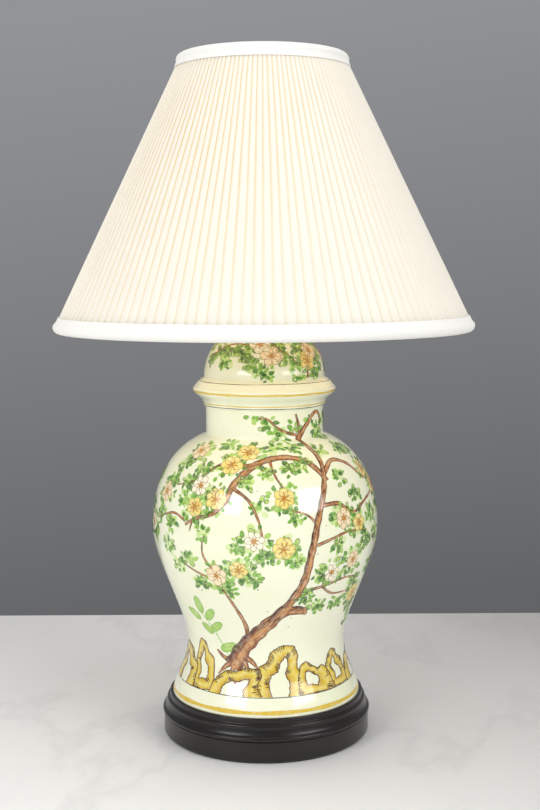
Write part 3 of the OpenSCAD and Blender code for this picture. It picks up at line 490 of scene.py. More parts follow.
def lathe(profile, steps):
    """A closed profile of (radius, height) points, turned round the lamp's axis."""
    bm = bmesh.new()
    points = [bm.verts.new((radius, 0, height)) for radius, height in profile]
    edges = [bm.edges.new((a, b)) for a, b in zip(points, points[1:] + points[:1])]
    bmesh.ops.spin(
        bm, geom=points + edges, cent=(0, 0, 0), axis=(0, 0, 1), dvec=(0, 0, 0),
        angle=math.tau, steps=steps, use_merge=True, use_duplicate=False,
    )
    bmesh.ops.recalc_face_normals(bm, faces=bm.faces[:])
    return bm


def piece(name, bm, finish, body, replaces=(), sharpest=35):
    """Makes a smooth mesh with creases past so many degrees, as a named object that rides on a body."""
    for face in bm.faces:
        face.smooth = True
    for edge in bm.edges:
        edge.smooth = edge.calc_face_angle(0) < math.radians(sharpest)
    mesh = bpy.data.meshes.new(name)
    bm.to_mesh(mesh)
    bm.free()
    if "custom_normal" in mesh.attributes:
        mesh.attributes.remove(mesh.attributes["custom_normal"])
    made = bpy.data.objects.new(name, mesh)
    bpy.context.scene.collection.objects.link(made)
    mesh.materials.append(finishes()[finish])
    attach(made, body)
    if replaces:
        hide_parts(*replaces)
    return made


# Rounding of the jar's lip
LIP_ROUND = 0.0015


def jar_outline(jar):
    """The jar's outside from its foot to its lip, as (radius, height)."""
    floor = JAR_LOW.z
    foot = (jar.foot_radius, floor + 0.004)
    waist = (jar.waist_radius, floor + jar.waist_height)
    belly = (jar.belly_radius, floor + jar.belly_height)
    root = (jar.neck_radius + 0.0026, floor + jar.shoulder_height)
    neck = (jar.neck_radius, root[1] + 0.004)
    return (
        [foot]
        + curve(foot, (-0.005, 0.02), (0, -0.028), waist, 24)
        + curve(waist, (0, 0.032), (0, -0.04), belly, 30)
        + curve(belly, (0, 0.036), (0.047, -0.019), root, 40)
        + curve(root, (-0.0019, 0.0008), (0, -0.0024), neck, 8)
        + [(neck[0], JAR_HIGH.z - LIP_ROUND)]
    )


def lid_outline(jar):
    """The lid's outside from its seat to the flat under the vase cap."""
    seat, rim, rounding = JAR_HIGH.z, jar.rim_radius, jar.rim_round
    middle, dome = seat + jar.rim_height, seat + jar.dome_foot
    lip = (jar.neck_radius + 0.0027, seat + 0.0026)
    flat = math.degrees(math.acos(jar.cap_radius / jar.dome_radius))
    return (
        [(lip[0] - 0.0005, seat), lip]
        + curve(lip, (0.001, 0.0064), (-0.0045, -0.0058), (rim - 0.0005, middle - 0.0022), 14)
        + arc((rim - rounding, middle), rounding, -18, 62, 14)
        + curve(
            (rim - 0.0022, middle + 0.0037), (-0.0033, 0.0047),
            (0.0046, -0.002), (jar.dome_radius + 0.0014, dome - 0.0014), 12,
        )
        + arc((0, dome), jar.dome_radius, 0, flat, 40, jar.dome_height / jar.dome_radius)
    )


# The angle at the jar's back where a painted ring closes, and the number of its steps
SEAM = math.pi
RING_STEPS = 180
# How deep the paint's underside lies in the glaze
SUNK = 0.0002
# Half of the stretch over which a wall's slope is taken
NEAR = 0.0008


class Wall:
    """The outside of a turned piece, unrolled: x is an angle round it, y a length up it, z a lift off it."""

    def __init__(self, outline):
        self.radius, self.height = np.array(outline).T
        steps = np.hypot(np.diff(self.radius), np.diff(self.height))
        self.length = np.concatenate(([0.0], np.cumsum(steps)))

    def at(self, length):
        """Radius and height at a length up the wall."""
        return np.interp(length, self.length, self.radius), np.interp(length, self.length, self.height)

    def spot(self, degrees, height):
        """An angle from the front and a height in millimetres, as a place on the unrolled wall."""
        return math.radians(degrees), float(np.interp(height / 1000, self.height, self.length))

    def holds(self, spot, margin):
        """Whether a spot lies so far inside the wall's two ends."""
        return margin < spot[1] < self.length[-1] - margin

    def offset(self, spot, across, up):
        """A spot moved by metres across and up the wall."""
        return spot[0] + across / float(self.at(spot[1])[0]), spot[1] + up

    def toward(self, spot, way, far, squash=1.0):
        """A spot moved by metres at an angle from level."""
        return self.offset(spot, math.cos(way) * far, math.sin(way) * far * squash)

    def heading(self, run, i):
        """A path's direction from one of its spots to another near it, as metres across and up."""
        a, b = run[max(i[0], 0)], run[min(i[1], len(run) - 1)]
        across, up = (b[0] - a[0]) * float(self.at(run[i[2]][1])[0]), b[1] - a[1]
        size = math.hypot(across, up) or 1
        return across / size, up / size

    def wrap(self, bm):
        """Rolls the flat mesh round the wall."""
        angle, length, lift = np.array([v.co for v in bm.verts]).T
        radius, height = self.at(length)
        before, after = self.at(length - NEAR), self.at(length + NEAR)
        out, up = after[0] - before[0], after[1] - before[1]
        size = np.hypot(out, up)
        radius = radius + lift * up / size
        height = height - lift * out / size
        rolled = np.stack((radius * np.sin(angle), -radius * np.cos(angle), height), 1)
        for vertex, place in zip(bm.verts, rolled):
            vertex.co = place


def flow(points, step=0.0025, bend=0.5, each=0):
    """A run through (angle, length) points, a step apart or cut into so many; less bend, sharper corners."""
    p = [points[0], *points, points[-1]]
    run = [points[0]]
    for a, b, c, d in zip(p, p[1:], p[2:], p[3:]):
        a, b, c, d = (np.array(q, float) for q in (a, b, c, d))
        gap = math.hypot((c[0] - b[0]) * 0.1, c[1] - b[1])
        count = each or max(2, round(gap / step))
        for i in range(1, count + 1):
            t = i / count
            leave, reach = (c - a) * bend, (d - b) * bend
            square, cube = 3 * (c - b) - 2 * leave - reach, 2 * (b - c) + leave + reach
            run.append(tuple(b + leave * t + square * t * t + cube * t ** 3))
    return run


def mixed(first, second, share):
    return tuple(a + (b - a) * share for a, b in zip(first, second))


class Painting:
    """Brush work on an unrolled wall, laid on it as thin raised enamel."""

    def __init__(self, outline, number):
        scene = bpy.context.scene
        self.colours = scene.lamp_paint
        self.wall = Wall(outline(scene.lamp_jar))
        self.draw = random.Random(self.colours.seed + number)
        self.bm = bmesh.new()
        self.pigment = self.bm.verts.layers.float_color.new("pigment")

    def spots(self, points, side):
        """A list of places in degrees and millimetres, as spots on one side of the jar."""
        return [self.wall.spot(*p) for p in turned(points, side)]

    def dab(self, spot, size, turn, colour, rim, lift, sides=8, taper=0.0):
        """An oval touch of the brush; size is its half width and half length."""
        cos, sin = math.cos(turn), math.sin(turn)
        made = bmesh.ops.create_circle(self.bm, cap_ends=True, cap_tris=True, segments=sides, radius=1.0)
        for v in made["verts"]:
            x, y = v.co.x * size[0] * (1 - taper * v.co.y), v.co.y * size[1]
            v[self.pigment] = (*(colour if v.co.length < 0.5 else rim), 1)
            v.co = (*self.wall.offset(spot, x * cos - y * sin, x * sin + y * cos), lift)

    def fill(self, left, right, colours, lift):
        """Fills the band between two edges of as many spots, with colours from the left to the right."""
        count, last = len(left) - 1, len(colours) - 1
        for v in bmesh.ops.create_grid(self.bm, x_segments=count, y_segments=last, size=1.0)["verts"]:
            i, share = round((v.co.x + 1) / 2 * count), (1 - v.co.y) / 2
            v[self.pigment] = (*colours[round(share * last)], 1)
            v.co = (*mixed(left[i], right[i], share), lift)

    def stroke(self, path, width, colours, lift):
        """A ribbon along a path; width(t) is half its width."""
        left, right = [], []
        for i, spot in enumerate(path):
            across, up = self.wall.heading(path, (i - 1, i + 1, i))
            half = width(i / (len(path) - 1))
            left.append(self.wall.offset(spot, -up * half, across * half))
            right.append(self.wall.offset(spot, up * half, -across * half))
        self.fill(left, right, colours, lift)

    def line(self, path, half, colour, lift, ends=0.25):
        """A thin line that swells in its middle."""
        self.stroke(path, lambda t: half * (ends + (1 - ends) * math.sin(math.pi * t)), [colour] * 2, lift)

    def loop(self, spot, size, turn, colour, lift, half, gap=0.9):
        """A thin line round an oval, left a little open as a brush leaves it."""
        start = self.draw.uniform(0, math.tau)
        cos, sin = math.cos(turn), math.sin(turn)
        path = []
        for i in range(9):
            a = start + math.tau * gap * i / 8
            x, y = size[0] * math.cos(a), size[1] * math.sin(a)
            path.append(self.wall.offset(spot, x * cos - y * sin, x * sin + y * cos))
        self.line(path, half, colour, lift, 0.5)

    def ring(self, height, half, colour, lift, shake):
        """A painted line all round the wall."""
        length = self.wall.spot(0, height)[1]
        start = self.draw.uniform(0, 6)
        upper, lower = [], []
        for i in range(RING_STEPS + 1):
            angle = SEAM * (2 * i / RING_STEPS - 1)
            middle = length + shake * (math.sin(3 * angle + start) + 0.6 * math.sin(7 * angle))
            over = half * (1 + 0.18 * math.sin(11 * angle))
            upper.append((angle, middle + over))
            lower.append((angle, middle - over))
        self.fill(upper, lower, [colour] * 3, lift)

    def lay(self, name):
        """Gives the brush work its thickness, wraps it, closes its rings and makes it a piece."""
        bm = self.bm
        for v in bmesh.ops.extrude_face_region(bm, geom=bm.faces[:], use_keep_orig=True)["geom"]:
            if isinstance(v, bmesh.types.BMVert):
                v.co.z = -SUNK
        seam = {v for v in bm.verts if abs(abs(v.co.x) - SEAM) < 1e-6}
        ends = [f for f in bm.faces if all(v in seam for v in f.verts)]
        bmesh.ops.delete(bm, geom=ends, context="FACES")
        self.wall.wrap(bm)
        bmesh.ops.remove_doubles(bm, verts=list(seam), dist=1e-6)
        bmesh.ops.recalc_face_normals(bm, faces=bm.faces[:])
        return piece(name, bm, "paint", "lamp_base")


# Painted lines: height in millimetres, half width in metres, colour, lift and shake
JAR_RINGS = [
    (52.6, 0.0021, "gold", 0.0001, 0.00012),
    (67.6, 0.00042, "line", 0.00014, 0.00015),
]
LID_RINGS = [
    # The first lid line is a thin dark ring round the lid's lower edge, just above where the lid sits on the
    # jar
    (378.2, 0.00042, "line", 0.0001, 0.0001),
    (380.8, 0.0006, "gold", 0.0001, 0.0001),
    (394.1, 0.0013, "gold", 0.0001, 0.0001),
    (405.5, 0.0004, "line", 0.0001, 0.00015),
]

# Painted garden: every place is (degrees from the front, height in millimetres)
TRUNK = [(-24, 98), (-16, 118), (-6, 136), (4, 153), (14, 171)]
STEM = [(12, 168), (20, 196), (23, 232), (27, 268), (34, 304), (37, 327), (32, 346)]
STUMP = [(-1, 147), (8, 160), (17, 165), (24, 163)]
ROOTS = [
    [(-20, 106), (-29, 106), (-36, 114)],
    [(-20, 103), (-28, 98), (-34, 88)],
    [(-20, 103), (-24, 92), (-27, 80)],
    [(-18, 104), (-18, 92), (-21, 80)],
    [(-16, 108), (-13, 98), (-11, 86)],
    [(-15, 110), (-9, 104), (-5, 96)],
]
# Half a limb's width at its start and its end in millimetres, then its places
LIMBS = [
    (3.2, 4.4, [(36, 304), (30, 320), (20, 328), (8, 329), (-4, 324), (-13, 312)]),
    (4.4, 1.4, [(-10, 317), (-17, 302), (-20, 286), (-27, 272), (-36, 266), (-42, 258)]),
    (1.8, 0.8, [(-30, 270), (-37, 264), (-39, 252)]),
    (2.4, 0.8, [(-2, 325), (-14, 321), (-27, 322), (-40, 305), (-54, 297)]),
    (1.6, 0.8, [(-42, 262), (-52, 268), (-66, 258)]),
    (2.0, 1.0, [(-17, 300), (-8, 288), (-3, 268), (-1, 250)]),
    (1.8, 0.8, [(3, 327), (6, 312), (11, 297)]),
    (3.0, 1.4, [(36, 312), (46, 323), (58, 318), (68, 302), (80, 296)]),
    (2.6, 1.2, [(30, 280), (40, 280), (49, 268), (60, 276), (74, 284)]),
    (2.0, 0.8, [(24, 238), (34, 244), (45, 249), (60, 246)]),
    (1.8, 0.8, [(27, 258), (21, 272), (12, 278)]),
    (2.2, 0.8, [(17, 186), (30, 190), (48, 196), (60, 192)]),
    (1.6, 0.8, [(32, 190), (40, 180), (56, 178)]),
    (2.8, 1.2, [(-12, 128), (-12, 146), (-17, 168), (-23, 190)]),
    (1.8, 0.8, [(-24, 205), (-31, 226), (-31, 246)]),
    (1.7, 0.7, [(-27, 200), (-38, 208), (-48, 218)]),
    (3.6, 1.4, [(32, 344), (42, 357), (55, 371), (64, 370), (68, 356)]),
    (1.9, 0.8, [(34, 348), (22, 352), (12, 358), (2, 368), (-8, 367)]),
    (2.1, 1.2, [(35, 349), (34, 360), (31, 372)]),
]
BLOSSOMS = [
    (-20, 322, "yellow"), (-11, 334, "yellow"), (-50, 332, "peach"), (-36, 300, "cream"),
    (-25, 288, "yellow"), (-37, 278, "yellow"), (10, 290, "yellow"), (-5, 246, "cream"),
    (9, 238, "yellow"), (-25, 206, "peach"), (-13, 214, "yellow"), (42, 264, "peach"),
    (53, 256, "yellow"), (74, 308, "yellow"), (81, 290, "yellow"), (50, 216, "peach"),
    (36, 206, "cream"), (62, 172, "yellow"), (-62, 288, "peach"), (-74, 250, "cream"),
]
# A bush's third number is its count of leaves
BUSHES = [
    (-30, 340, 16), (-38, 318, 14), (-56, 316, 14), (-60, 302, 16), (-46, 302, 12), (-44, 284, 16),
    (-64, 264, 18), (-52, 256, 14), (-70, 240, 16), (-55, 232, 12), (0, 315, 14), (-9, 306, 12),
    (16, 318, 18), (8, 338, 12), (24, 338, 14), (-2, 280, 10), (16, 270, 16), (0, 228, 20),
    (14, 226, 18), (-13, 240, 14), (25, 322, 12), (46, 306, 16), (42, 334, 12), (64, 332, 16),
    (54, 286, 18), (66, 262, 18), (38, 236, 14), (60, 234, 20), (30, 206, 16), (22, 182, 20),
    (30, 168, 18), (46, 168, 18), (56, 188, 20), (72, 200, 20), (64, 158, 18), (-35, 196, 16),
    (-6, 204, 16), (-20, 190, 18), (-40, 222, 14), (-48, 212, 14), (-31, 252, 12), (70, 140, 12),
    (72, 240, 18), (80, 268, 18), (-78, 270, 18), (-86, 238, 18), (86, 222, 16), (-82, 300, 18),
    (4, 360, 12), (-8, 371, 10), (17, 350, 12), (28, 356, 7), (42, 372, 14), (58, 354, 14),
    (66, 344, 12), (76, 362, 14), (74, 330, 14),
]
SPRIG = [(-26, 108), (-33, 128), (-38, 144), (-44, 158)]
# A leaf's third number is its turn
SPRIG_LEAVES = [
    (-26, 119, -1.2), (-41, 138, 0.9), (-33, 142, -0.9), (-50, 153, 1.0), (-43, 166, 0.1), (-36, 156, -0.7),
]
# A rock has an outer and an inner outline, in hundredths of its width and height
ARCH = (
    [(0, 0), (2, 30), (4, 54), (22, 66), (30, 86), (56, 100), (80, 96), (90, 78), (88, 54), (100, 30),
     (100, 0)],
    [(30, 0), (26, 24), (30, 38), (44, 46), (50, 60), (60, 74), (66, 72), (68, 58), (62, 42), (70, 22),
     (64, 0)],
)
LEDGE = (
    [(0, 0), (4, 32), (14, 60), (30, 84), (52, 86), (70, 100), (97, 97), (100, 68), (93, 38), (100, 0)],
    [(24, 0), (26, 22), (34, 40), (44, 50), (58, 50), (70, 60), (78, 58), (76, 42), (68, 22), (70, 0)],
)
WINDOW = (
    [(50, 0), (4, 2), (10, 30), (0, 56), (14, 84), (30, 100), (54, 94), (62, 76), (86, 64), (92, 34),
     (100, 4), (50, 0)],
    [(50, 20), (32, 18), (36, 32), (24, 52), (34, 70), (40, 78), (46, 70), (46, 56), (62, 46), (68, 32),
     (64, 20), (50, 20)],
)
BOULDER = (
    [(60, 0), (0, 0), (2, 34), (12, 64), (26, 80), (40, 72), (56, 84), (74, 100), (90, 88), (98, 50),
     (100, 0), (60, 0)],
    [(62, 26), (50, 20), (44, 30), (42, 42), (46, 52), (52, 54), (60, 62), (70, 70), (78, 64), (80, 46),
     (76, 28), (62, 26)],
)
# From and to in degrees, top in millimetres and shape; every other one lies in front of its neighbours
ROCKS = [
    (-58, -36, 122, WINDOW), (-39, -3, 97, LEDGE), (-6, 26, 123, ARCH), (50, 22, 101, BOULDER),
    (46, 70, 108, WINDOW), (66, 101, 98, LEDGE), (98, 124, 112, BOULDER), (143, 120, 120, WINDOW),
    (140, 174, 96, LEDGE), (204, 170, 116, ARCH), (200, 231, 99, BOULDER), (228, 251, 119, WINDOW),
    (248, 279, 97, LEDGE), (306, 275, 110, ARCH),
]
ROCK_FOOT = 68.2
LID_TWIGS = [
    (1.3, [(-62, 436), (-44, 446), (-26, 448), (-8, 442)]),
    (1.1, [(4, 452), (14, 444), (26, 436), (34, 426)]),
    (1.5, [(44, 411), (45, 424), (42, 440)]),
    (1.2, [(45, 420), (52, 430), (58, 442)]),
    (1.2, [(72, 452), (80, 438), (90, 428)]),
]
LID_BLOSSOMS = [
    (8, 436, "peach"), (-4, 448, "cream"), (55, 440, "peach"), (47, 430, "yellow"), (88, 434, "cream"),
]
LID_BUSHES = [
    (-66, 430, 12), (-56, 438, 14), (-44, 440, 16), (-40, 428, 12), (-30, 442, 14), (-20, 436, 16),
    (-12, 446, 14), (4, 452, 16), (18, 446, 16), (-13, 427, 12), (-4, 420, 14), (2, 414, 8),
    (22, 432, 14), (30, 424, 10), (36, 450, 14), (48, 452, 14), (62, 450, 14), (68, 436, 14),
    (54, 416, 14), (38, 440, 12), (64, 426, 12), (80, 446, 14), (94, 436, 14), (86, 420, 12),
    (-76, 446, 14), (-60, 452, 12), (34, 412, 8),
]
# The garden is painted twice: as listed for the front, then turned by so many degrees and mirrored
SIDES = ((0.0, 1.0), (math.degrees(math.pi + 0.12), -1.0))


def turned(rows, side):
    """A list of places, put on one side of the jar."""
    return [(side[0] + side[1] * row[0], *row[1:]) for row in rows]


def rib(lines, spot, turn, reach, half, colour, lift):
    """The line down a leaf's middle, between two distances from the leaf's spot."""
    foot, tip = (lines.wall.toward(spot, turn + math.pi / 2, far) for far in reach)
    lines.line([foot, spot, tip], half, colour, lift)


def leaf(paint, lines, spot, turn):
    """One leaf in one of three greens, some with a line round it or down it."""
    colours, draw = paint.colours, paint.draw
    tone = draw.random()
    length = colours.leaf_size * draw.uniform(0.75, 1.25)
    wide = length * draw.uniform(0.58, 0.76)
    if tone < 0.34:
        colour = mixed(colours.leaf_wash, colours.leaf, draw.uniform(0.05, 0.45))
        lift = draw.uniform(0.00011, 0.00014)
        length, wide = length * 1.15, wide * 1.2
    elif tone < 0.78:
        colour = mixed(colours.leaf, colours.leaf_wash, draw.uniform(0, 0.4))
        lift = draw.uniform(0.00015, 0.0002)
    else:
        colour = mixed(colours.leaf_dark, colours.leaf, draw.uniform(0, 0.6))
        lift = draw.uniform(0.00021, 0.00026)
    rim = mixed(colour, colours.leaf_dark, draw.uniform(0.0, 0.25))
    paint.dab(spot, (wide, length), turn, colour, rim, lift, taper=draw.uniform(0.1, 0.35))
    if draw.random() < 0.3:
        shift = paint.wall.offset(spot, draw.uniform(-0.0006, 0.0006), draw.uniform(-0.0004, 0.0006))
        lines.loop(shift, (wide * 1.05, length * 1.1), turn, colours.vein, 0.0003, 0.00026)
    elif draw.random() < 0.25:
        rib(lines, spot, turn, (-length * 0.8, length * 0.9), 0.00028, colours.vein, 0.0003)


def bush(paint, lines, spot, count, spread, middle=0.0):
    """A cluster of leaves over a pale wash; they point away from its middle."""
    colours, draw, wall = paint.colours, paint.draw, paint.wall
    count = round(count * colours.fullness)
    for i in range(count // 4):
        way = draw.uniform(0, math.tau)
        far = middle * 0.9 + (spread - middle) * draw.uniform(0.1, 0.8)
        place = wall.toward(spot, way, far, 0.9)
        tint = mixed(colours.leaf_wash, (0.86, 0.9, 0.62), draw.uniform(0.1, 0.6))
        blot = draw.uniform(0.0028, 0.0046)
        size = (blot, blot * draw.uniform(1, 1.5))
        lift = draw.uniform(0.00005, 0.00008)
        if wall.holds(place, 0.008):
            paint.dab(place, size, way - math.pi / 2, tint, tint, lift, 10)
    for i in range(count):
        way = draw.uniform(0, math.tau)
        far = middle + (spread - middle) * draw.uniform(0.05, 1) ** 0.6
        place = wall.toward(spot, way, far, 0.9)
        if wall.holds(place, 0.006):
            leaf(paint, lines, place, way - math.pi / 2 + draw.uniform(-0.7, 0.7))


def foliage(paint, lines, side, bushes, spread, blossoms, wreath):
    """The clusters of leaves on one side, and a wreath of leaves round each of its blossoms."""
    for degrees, height, count in turned(bushes, side):
        bush(paint, lines, paint.wall.spot(degrees, height), count, spread)
    for degrees, height, tint in turned(blossoms, side):
        bush(paint, lines, paint.wall.spot(degrees, height), *wreath)


def blossom(petals, hearts, spot, tint, turn):
    """An open blossom: petals on one painting, strokes and outlines on another."""
    colours, draw, wall = petals.colours, petals.draw, petals.wall
    size = colours.blossom_size * draw.uniform(0.88, 1.12)
    body = getattr(colours, tint)
    edge = mixed(colours.rock_line, colours.bark, 0.4)
    count = draw.choice((5, 6, 6, 7))
    for i in range(count):
        way = turn + math.tau * i / count + draw.uniform(-0.12, 0.12)
        lean = way - math.pi / 2
        place = wall.toward(spot, way, size * draw.uniform(0.52, 0.6))
        wide = size * 2.55 / count * draw.uniform(0.85, 1.05)
        tall = size * draw.uniform(0.38, 0.5)
        centre = mixed(body, colours.cream, draw.uniform(0, 0.5))
        petals.dab(place, (wide, tall), lean, centre, body, 0.00032 + 0.00001 * (i % 3), 12, -0.34)
        hearts.loop(place, (wide, tall * 1.04), lean, edge, 0.0004, 0.00022, 1.0)
        strong = tint == "yellow"
        reach = draw.uniform(0.5, 0.74) if strong else draw.uniform(0.4, 0.52)
        inner, outer = (wall.toward(spot, way, size * far) for far in (0.05, reach))
        half = 0.0009 if strong else 0.0006
        hearts.line([inner, mixed(inner, outer, 0.5), outer], half, colours.heart, 0.00044, 0.3)
    for i in range(3):
        way = draw.uniform(0, math.tau)
        place = wall.toward(spot, way, size * 0.1)
        dark = mixed(colours.heart, colours.rock_line, draw.uniform(0, 0.45))
        oval = (size * 0.11, size * draw.uniform(0.16, 0.34))
        hearts.dab(place, oval, way, dark, colours.heart, 0.00048 + i * 0.00001)


def limb(paint, points, thick, thin, lift=0.00016, rough=False):
    """A branch with dark edges, a light back and a few strokes of bark, or many where it is rough."""
    colours, draw, wall = paint.colours, paint.draw, paint.wall
    run = flow(points)
    dark, bark, light = colours.bark_dark, colours.bark, colours.bark_light
    shades = [dark, mixed(bark, dark, 0.3), light, bark, dark]
    if rough:
        shades = [dark, dark, mixed(dark, bark, 0.5), bark, light, mixed(bark, light, 0.7), bark, dark]
    start = draw.uniform(0, 6)

    def width(t):
        return (thick + (thin - thick) * t) * (1 + 0.09 * math.sin(start + t * len(run) * 0.9))

    paint.stroke(run, width, shades, lift)
    for i in range(int(len(run) * (2.6 if rough else 0.6))):
        first = draw.randrange(0, max(1, len(run) - 4))
        side = draw.uniform(-0.8, 0.8)
        path = []
        for j in range(first, min(first + draw.randint(3, 5), len(run))):
            k = min(j, len(run) - 2)
            across, up = wall.heading(run, (k, k + 1, k))
            far = width(j / len(run)) * side
            path.append(wall.offset(run[j], -up * far, across * far))
        if len(path) > 1:
            tone = dark if draw.random() < 0.6 else light
            paint.line(path, 0.00028, tone, lift + 0.00008)


def rock(paint, lines, left, right, top, shape, lift):
    """A pierced garden rock, filled between its outer and its inner outline, then outlined and hatched."""
    colours, draw, wall = paint.colours, paint.draw, paint.wall

    def place(x, y):
        return wall.spot(left + (right - left) * (x / 100), ROCK_FOOT + (top - ROCK_FOOT) * (y / 100))

    outer, inner = (flow([place(*p) for p in outline], bend=0.22, each=6) for outline in shape)
    light = mixed(colours.ochre, (1, 0.95, 0.5), 0.25)
    warm = mixed(colours.ochre, colours.ochre_shade, 0.5)
    shades = [colours.ochre_shade, colours.ochre, light, colours.ochre, warm, colours.ochre_shade]
    paint.fill(outer, inner, shades, lift)
    for edge, over in ((outer, inner), (inner, outer)):
        shaken = [mixed(a, b, draw.uniform(-0.05, 0.05)) for a, b in zip(edge, over)]
        lines.line(shaken, 0.0006, colours.rock_line, lift + 0.00006, 0.8)
    for group in range(9):
        first = draw.randrange(1, len(outer) - 7)
        edge, over = (outer, inner) if draw.random() < 0.75 else (inner, outer)
        for k in range(first, first + draw.randint(3, 6)):
            reach = draw.uniform(0.24, 0.52)
            middle, end = mixed(edge[k], over[k], reach / 2), mixed(edge[k], over[k], reach)
            bend = wall.offset(middle, draw.uniform(-0.0007, 0.0007), draw.uniform(0, 0.0006))
            lines.line([edge[k], bend, end], 0.00062, colours.rock_line, lift + 0.00009)


def sprig(paint, lines, side):
    """A pale twig with a few large leaves."""
    colours = paint.colours
    green = mixed(colours.leaf, colours.leaf_wash, 0.4)
    edge, middle = (mixed(green, colours.leaf_dark, share) for share in (0.5, 0.3))
    paint.line(flow(paint.spots(SPRIG, side)), 0.0006, green, 0.0002, 0.6)
    for degrees, height, turn in turned(SPRIG_LEAVES, side):
        spot = paint.wall.spot(degrees, height)
        lean = turn * side[1]
        size = paint.draw.uniform(0.009, 0.0116)
        paint.dab(spot, (size * 0.48, size), lean, colours.leaf_wash, green, 0.00016, 12, 0.3)
        lines.loop(spot, (size * 0.47, size * 0.98), lean, edge, 0.00024, 0.00036, 1.0)
        rib(lines, spot, lean, (-size, size * 0.8), 0.0004, middle, 0.00026)


# Operators

# Name, azimuth and elevation in degrees, width and height in metres, share of the power, seen in reflections
SOFTBOXES = (
    ("Softbox left", -38, 19, 0.75, 0.5, 0.76, True),
    ("Softbox right", 49, 21, 0.83, 0.65, 0.85, True),
    ("Softbox top", 10, 78, 0.7, 0.7, 0.5, True),
    ("Fill front", 4, 3, 1.2, 0.5, 0.2, False),
    ("Fill left", -98, 20, 0.8, 0.8, 0.25, False),
)
# Where the softboxes point, and how far they stand from there
SOFTBOX_AIM = Vector((0, 0, 0.33))
SOFTBOX_DISTANCE = 1.6
# Half the floor's width, and its near edge
FLOOR_REACH = 3.0


class LAMP_OT_stage(bpy.types.Operator):
    """Sets the camera, the floor, the backdrop and the softboxes"""

    bl_idname = "table_lamp.stage"
    bl_label = "Stage"

    def execute(self, context):
        studio, scene = context.scene.lamp_studio, context.scene
        scene.view_settings.view_transform = "Standard"
        aim = Vector((0, math.cos(studio.camera_pitch), -math.sin(studio.camera_pitch)))
        roll = Quaternion((0, 0, 1), studio.camera_roll)
        camera = self.put("Camera", bpy.data.cameras.new("Camera"), aim, roll)
        camera.data.lens = studio.lens
        camera.data.clip_start = 0.05
        camera.data.clip_end = 50
        camera.location = (studio.camera_side, -studio.camera_distance, studio.camera_height)
        scene.camera = camera

        for name, azimuth, elevation, wide, tall, share, mirrored in SOFTBOXES:
            light = bpy.data.lights.new(name, "AREA")
            light.shape, light.size, light.size_y = "RECTANGLE", wide, tall
            light.energy = studio.softbox_power * share
            a, e = math.radians(azimuth), math.radians(elevation)
            away = Vector((math.sin(a) * math.cos(e), -math.cos(a) * math.cos(e), math.sin(e)))
            box = self.put(name, light, -away)
            box.location = SOFTBOX_AIM + away * SOFTBOX_DISTANCE
            box.visible_glossy = mirrored

        bm = bmesh.new()
        bmesh.ops.create_grid(bm, x_segments=6, y_segments=6, size=1.0)
        for v in bm.verts:
            far = (v.co.y + 1) / 2 * (studio.floor_back + FLOOR_REACH)
            v.co = (v.co.x * FLOOR_REACH, far - FLOOR_REACH, 0)
        mesh = bpy.data.meshes.new("studio_floor")
        bm.to_mesh(mesh)
        bm.free()
        mesh.materials.append(marble(studio))
        floor = bpy.data.objects.new("studio_floor", mesh)
        scene.collection.objects.link(floor)

        scene.world = bpy.data.worlds.new("Studio")
        scene.world.use_nodes = True
        room = Bench(scene.world.node_tree)
        way = room.node("TexCoord", output="Generated")
        slope = room.axis("Z", way) - room.axis("X", way) * 0.12
        backdrop = room.blend(room.band(slope, -0.27, 0.2), studio.backdrop_low, studio.backdrop_high)
        seen = room.node("LightPath", output="Is Camera Ray")
        for ray in ("Is Glossy Ray", "Is Transmission Ray"):
            seen = seen.above(room.node("LightPath", output=ray))
        colour = room.blend(seen, (studio.room_light,) * 3, backdrop)
        sky = room.node("Background", values={"Color": colour, "Strength": 1.0})
        room.node("OutputWorld", values={"Surface": sky})
        return {"FINISHED"}

    def put(self, name, data, aim, roll=Quaternion()):
        """Links a camera or a light that looks along a direction."""
        made = bpy.data.objects.new(name, data)
        made.rotation_mode = "QUATERNION"
        made.rotation_quaternion = aim.to_track_quat("-Z", "Y") @ roll
        bpy.context.scene.collection.objects.link(made)
        return made


# The frame's nodes that keep their own shape, by finish
HARDWARE = {
    "felt": "base_felt",
    "bushing": "cord_bushing switch_knob",
    "zinc": "base_washer base_lock_washer lamp_pipe cap_set_screw",
    "brass": "base_locknut vase_cap top_locknut brass_neck harp_stud socket_contact terminal_screws"
             " switch_shaft finial",
    "plate": "harp_saddle harp_bow harp_sleeve_left harp_sleeve_right shade_spider",
    "socket": "socket_cap socket_shell socket_screw_shell",
    "board": "socket_liner",
    "phenolic": "socket_body",
    "bulb": "bulb_glass",
    "aluminium": "bulb_cap bulb_tip",
    "insulator": "bulb_insulator",
    "stem": "bulb_stem",
    "filament": "bulb_filament",
    "enamel": "shade_top_ring shade_bottom_ring shade_ribs",
}


class LAMP_OT_hardware(bpy.types.Operator):
    """Gives every metal, plastic and glass part of the frame its finish"""

    bl_idname = "table_lamp.hardware"
    bl_label = "Hardware"

    def execute(self, context):
        for finish, nodes in HARDWARE.items():
            for node in nodes.split():
                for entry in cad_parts[node].material_slots:
                    entry.material = finishes()[finish]
        return {"FINISHED"}


class LAMP_OT_base(bpy.types.Operator):
    """Makes the turned wood base, with its mouldings smoothed"""

    bl_idname = "table_lamp.base"
    bl_label = "Wood base"

    def execute(self, context):
        bm = bmesh.new()
        bm.from_mesh(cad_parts["wood_base"].data)
        bmesh.ops.remove_doubles(bm, verts=bm.verts[:], dist=2e-6)
        base = piece("turned_base", bm, "wood", "lamp_base", ["wood_base"], 33)
        even = base.modifiers.new("Even shading", "WEIGHTED_NORMAL")
        even.keep_sharp = True
        return {"FINISHED"}


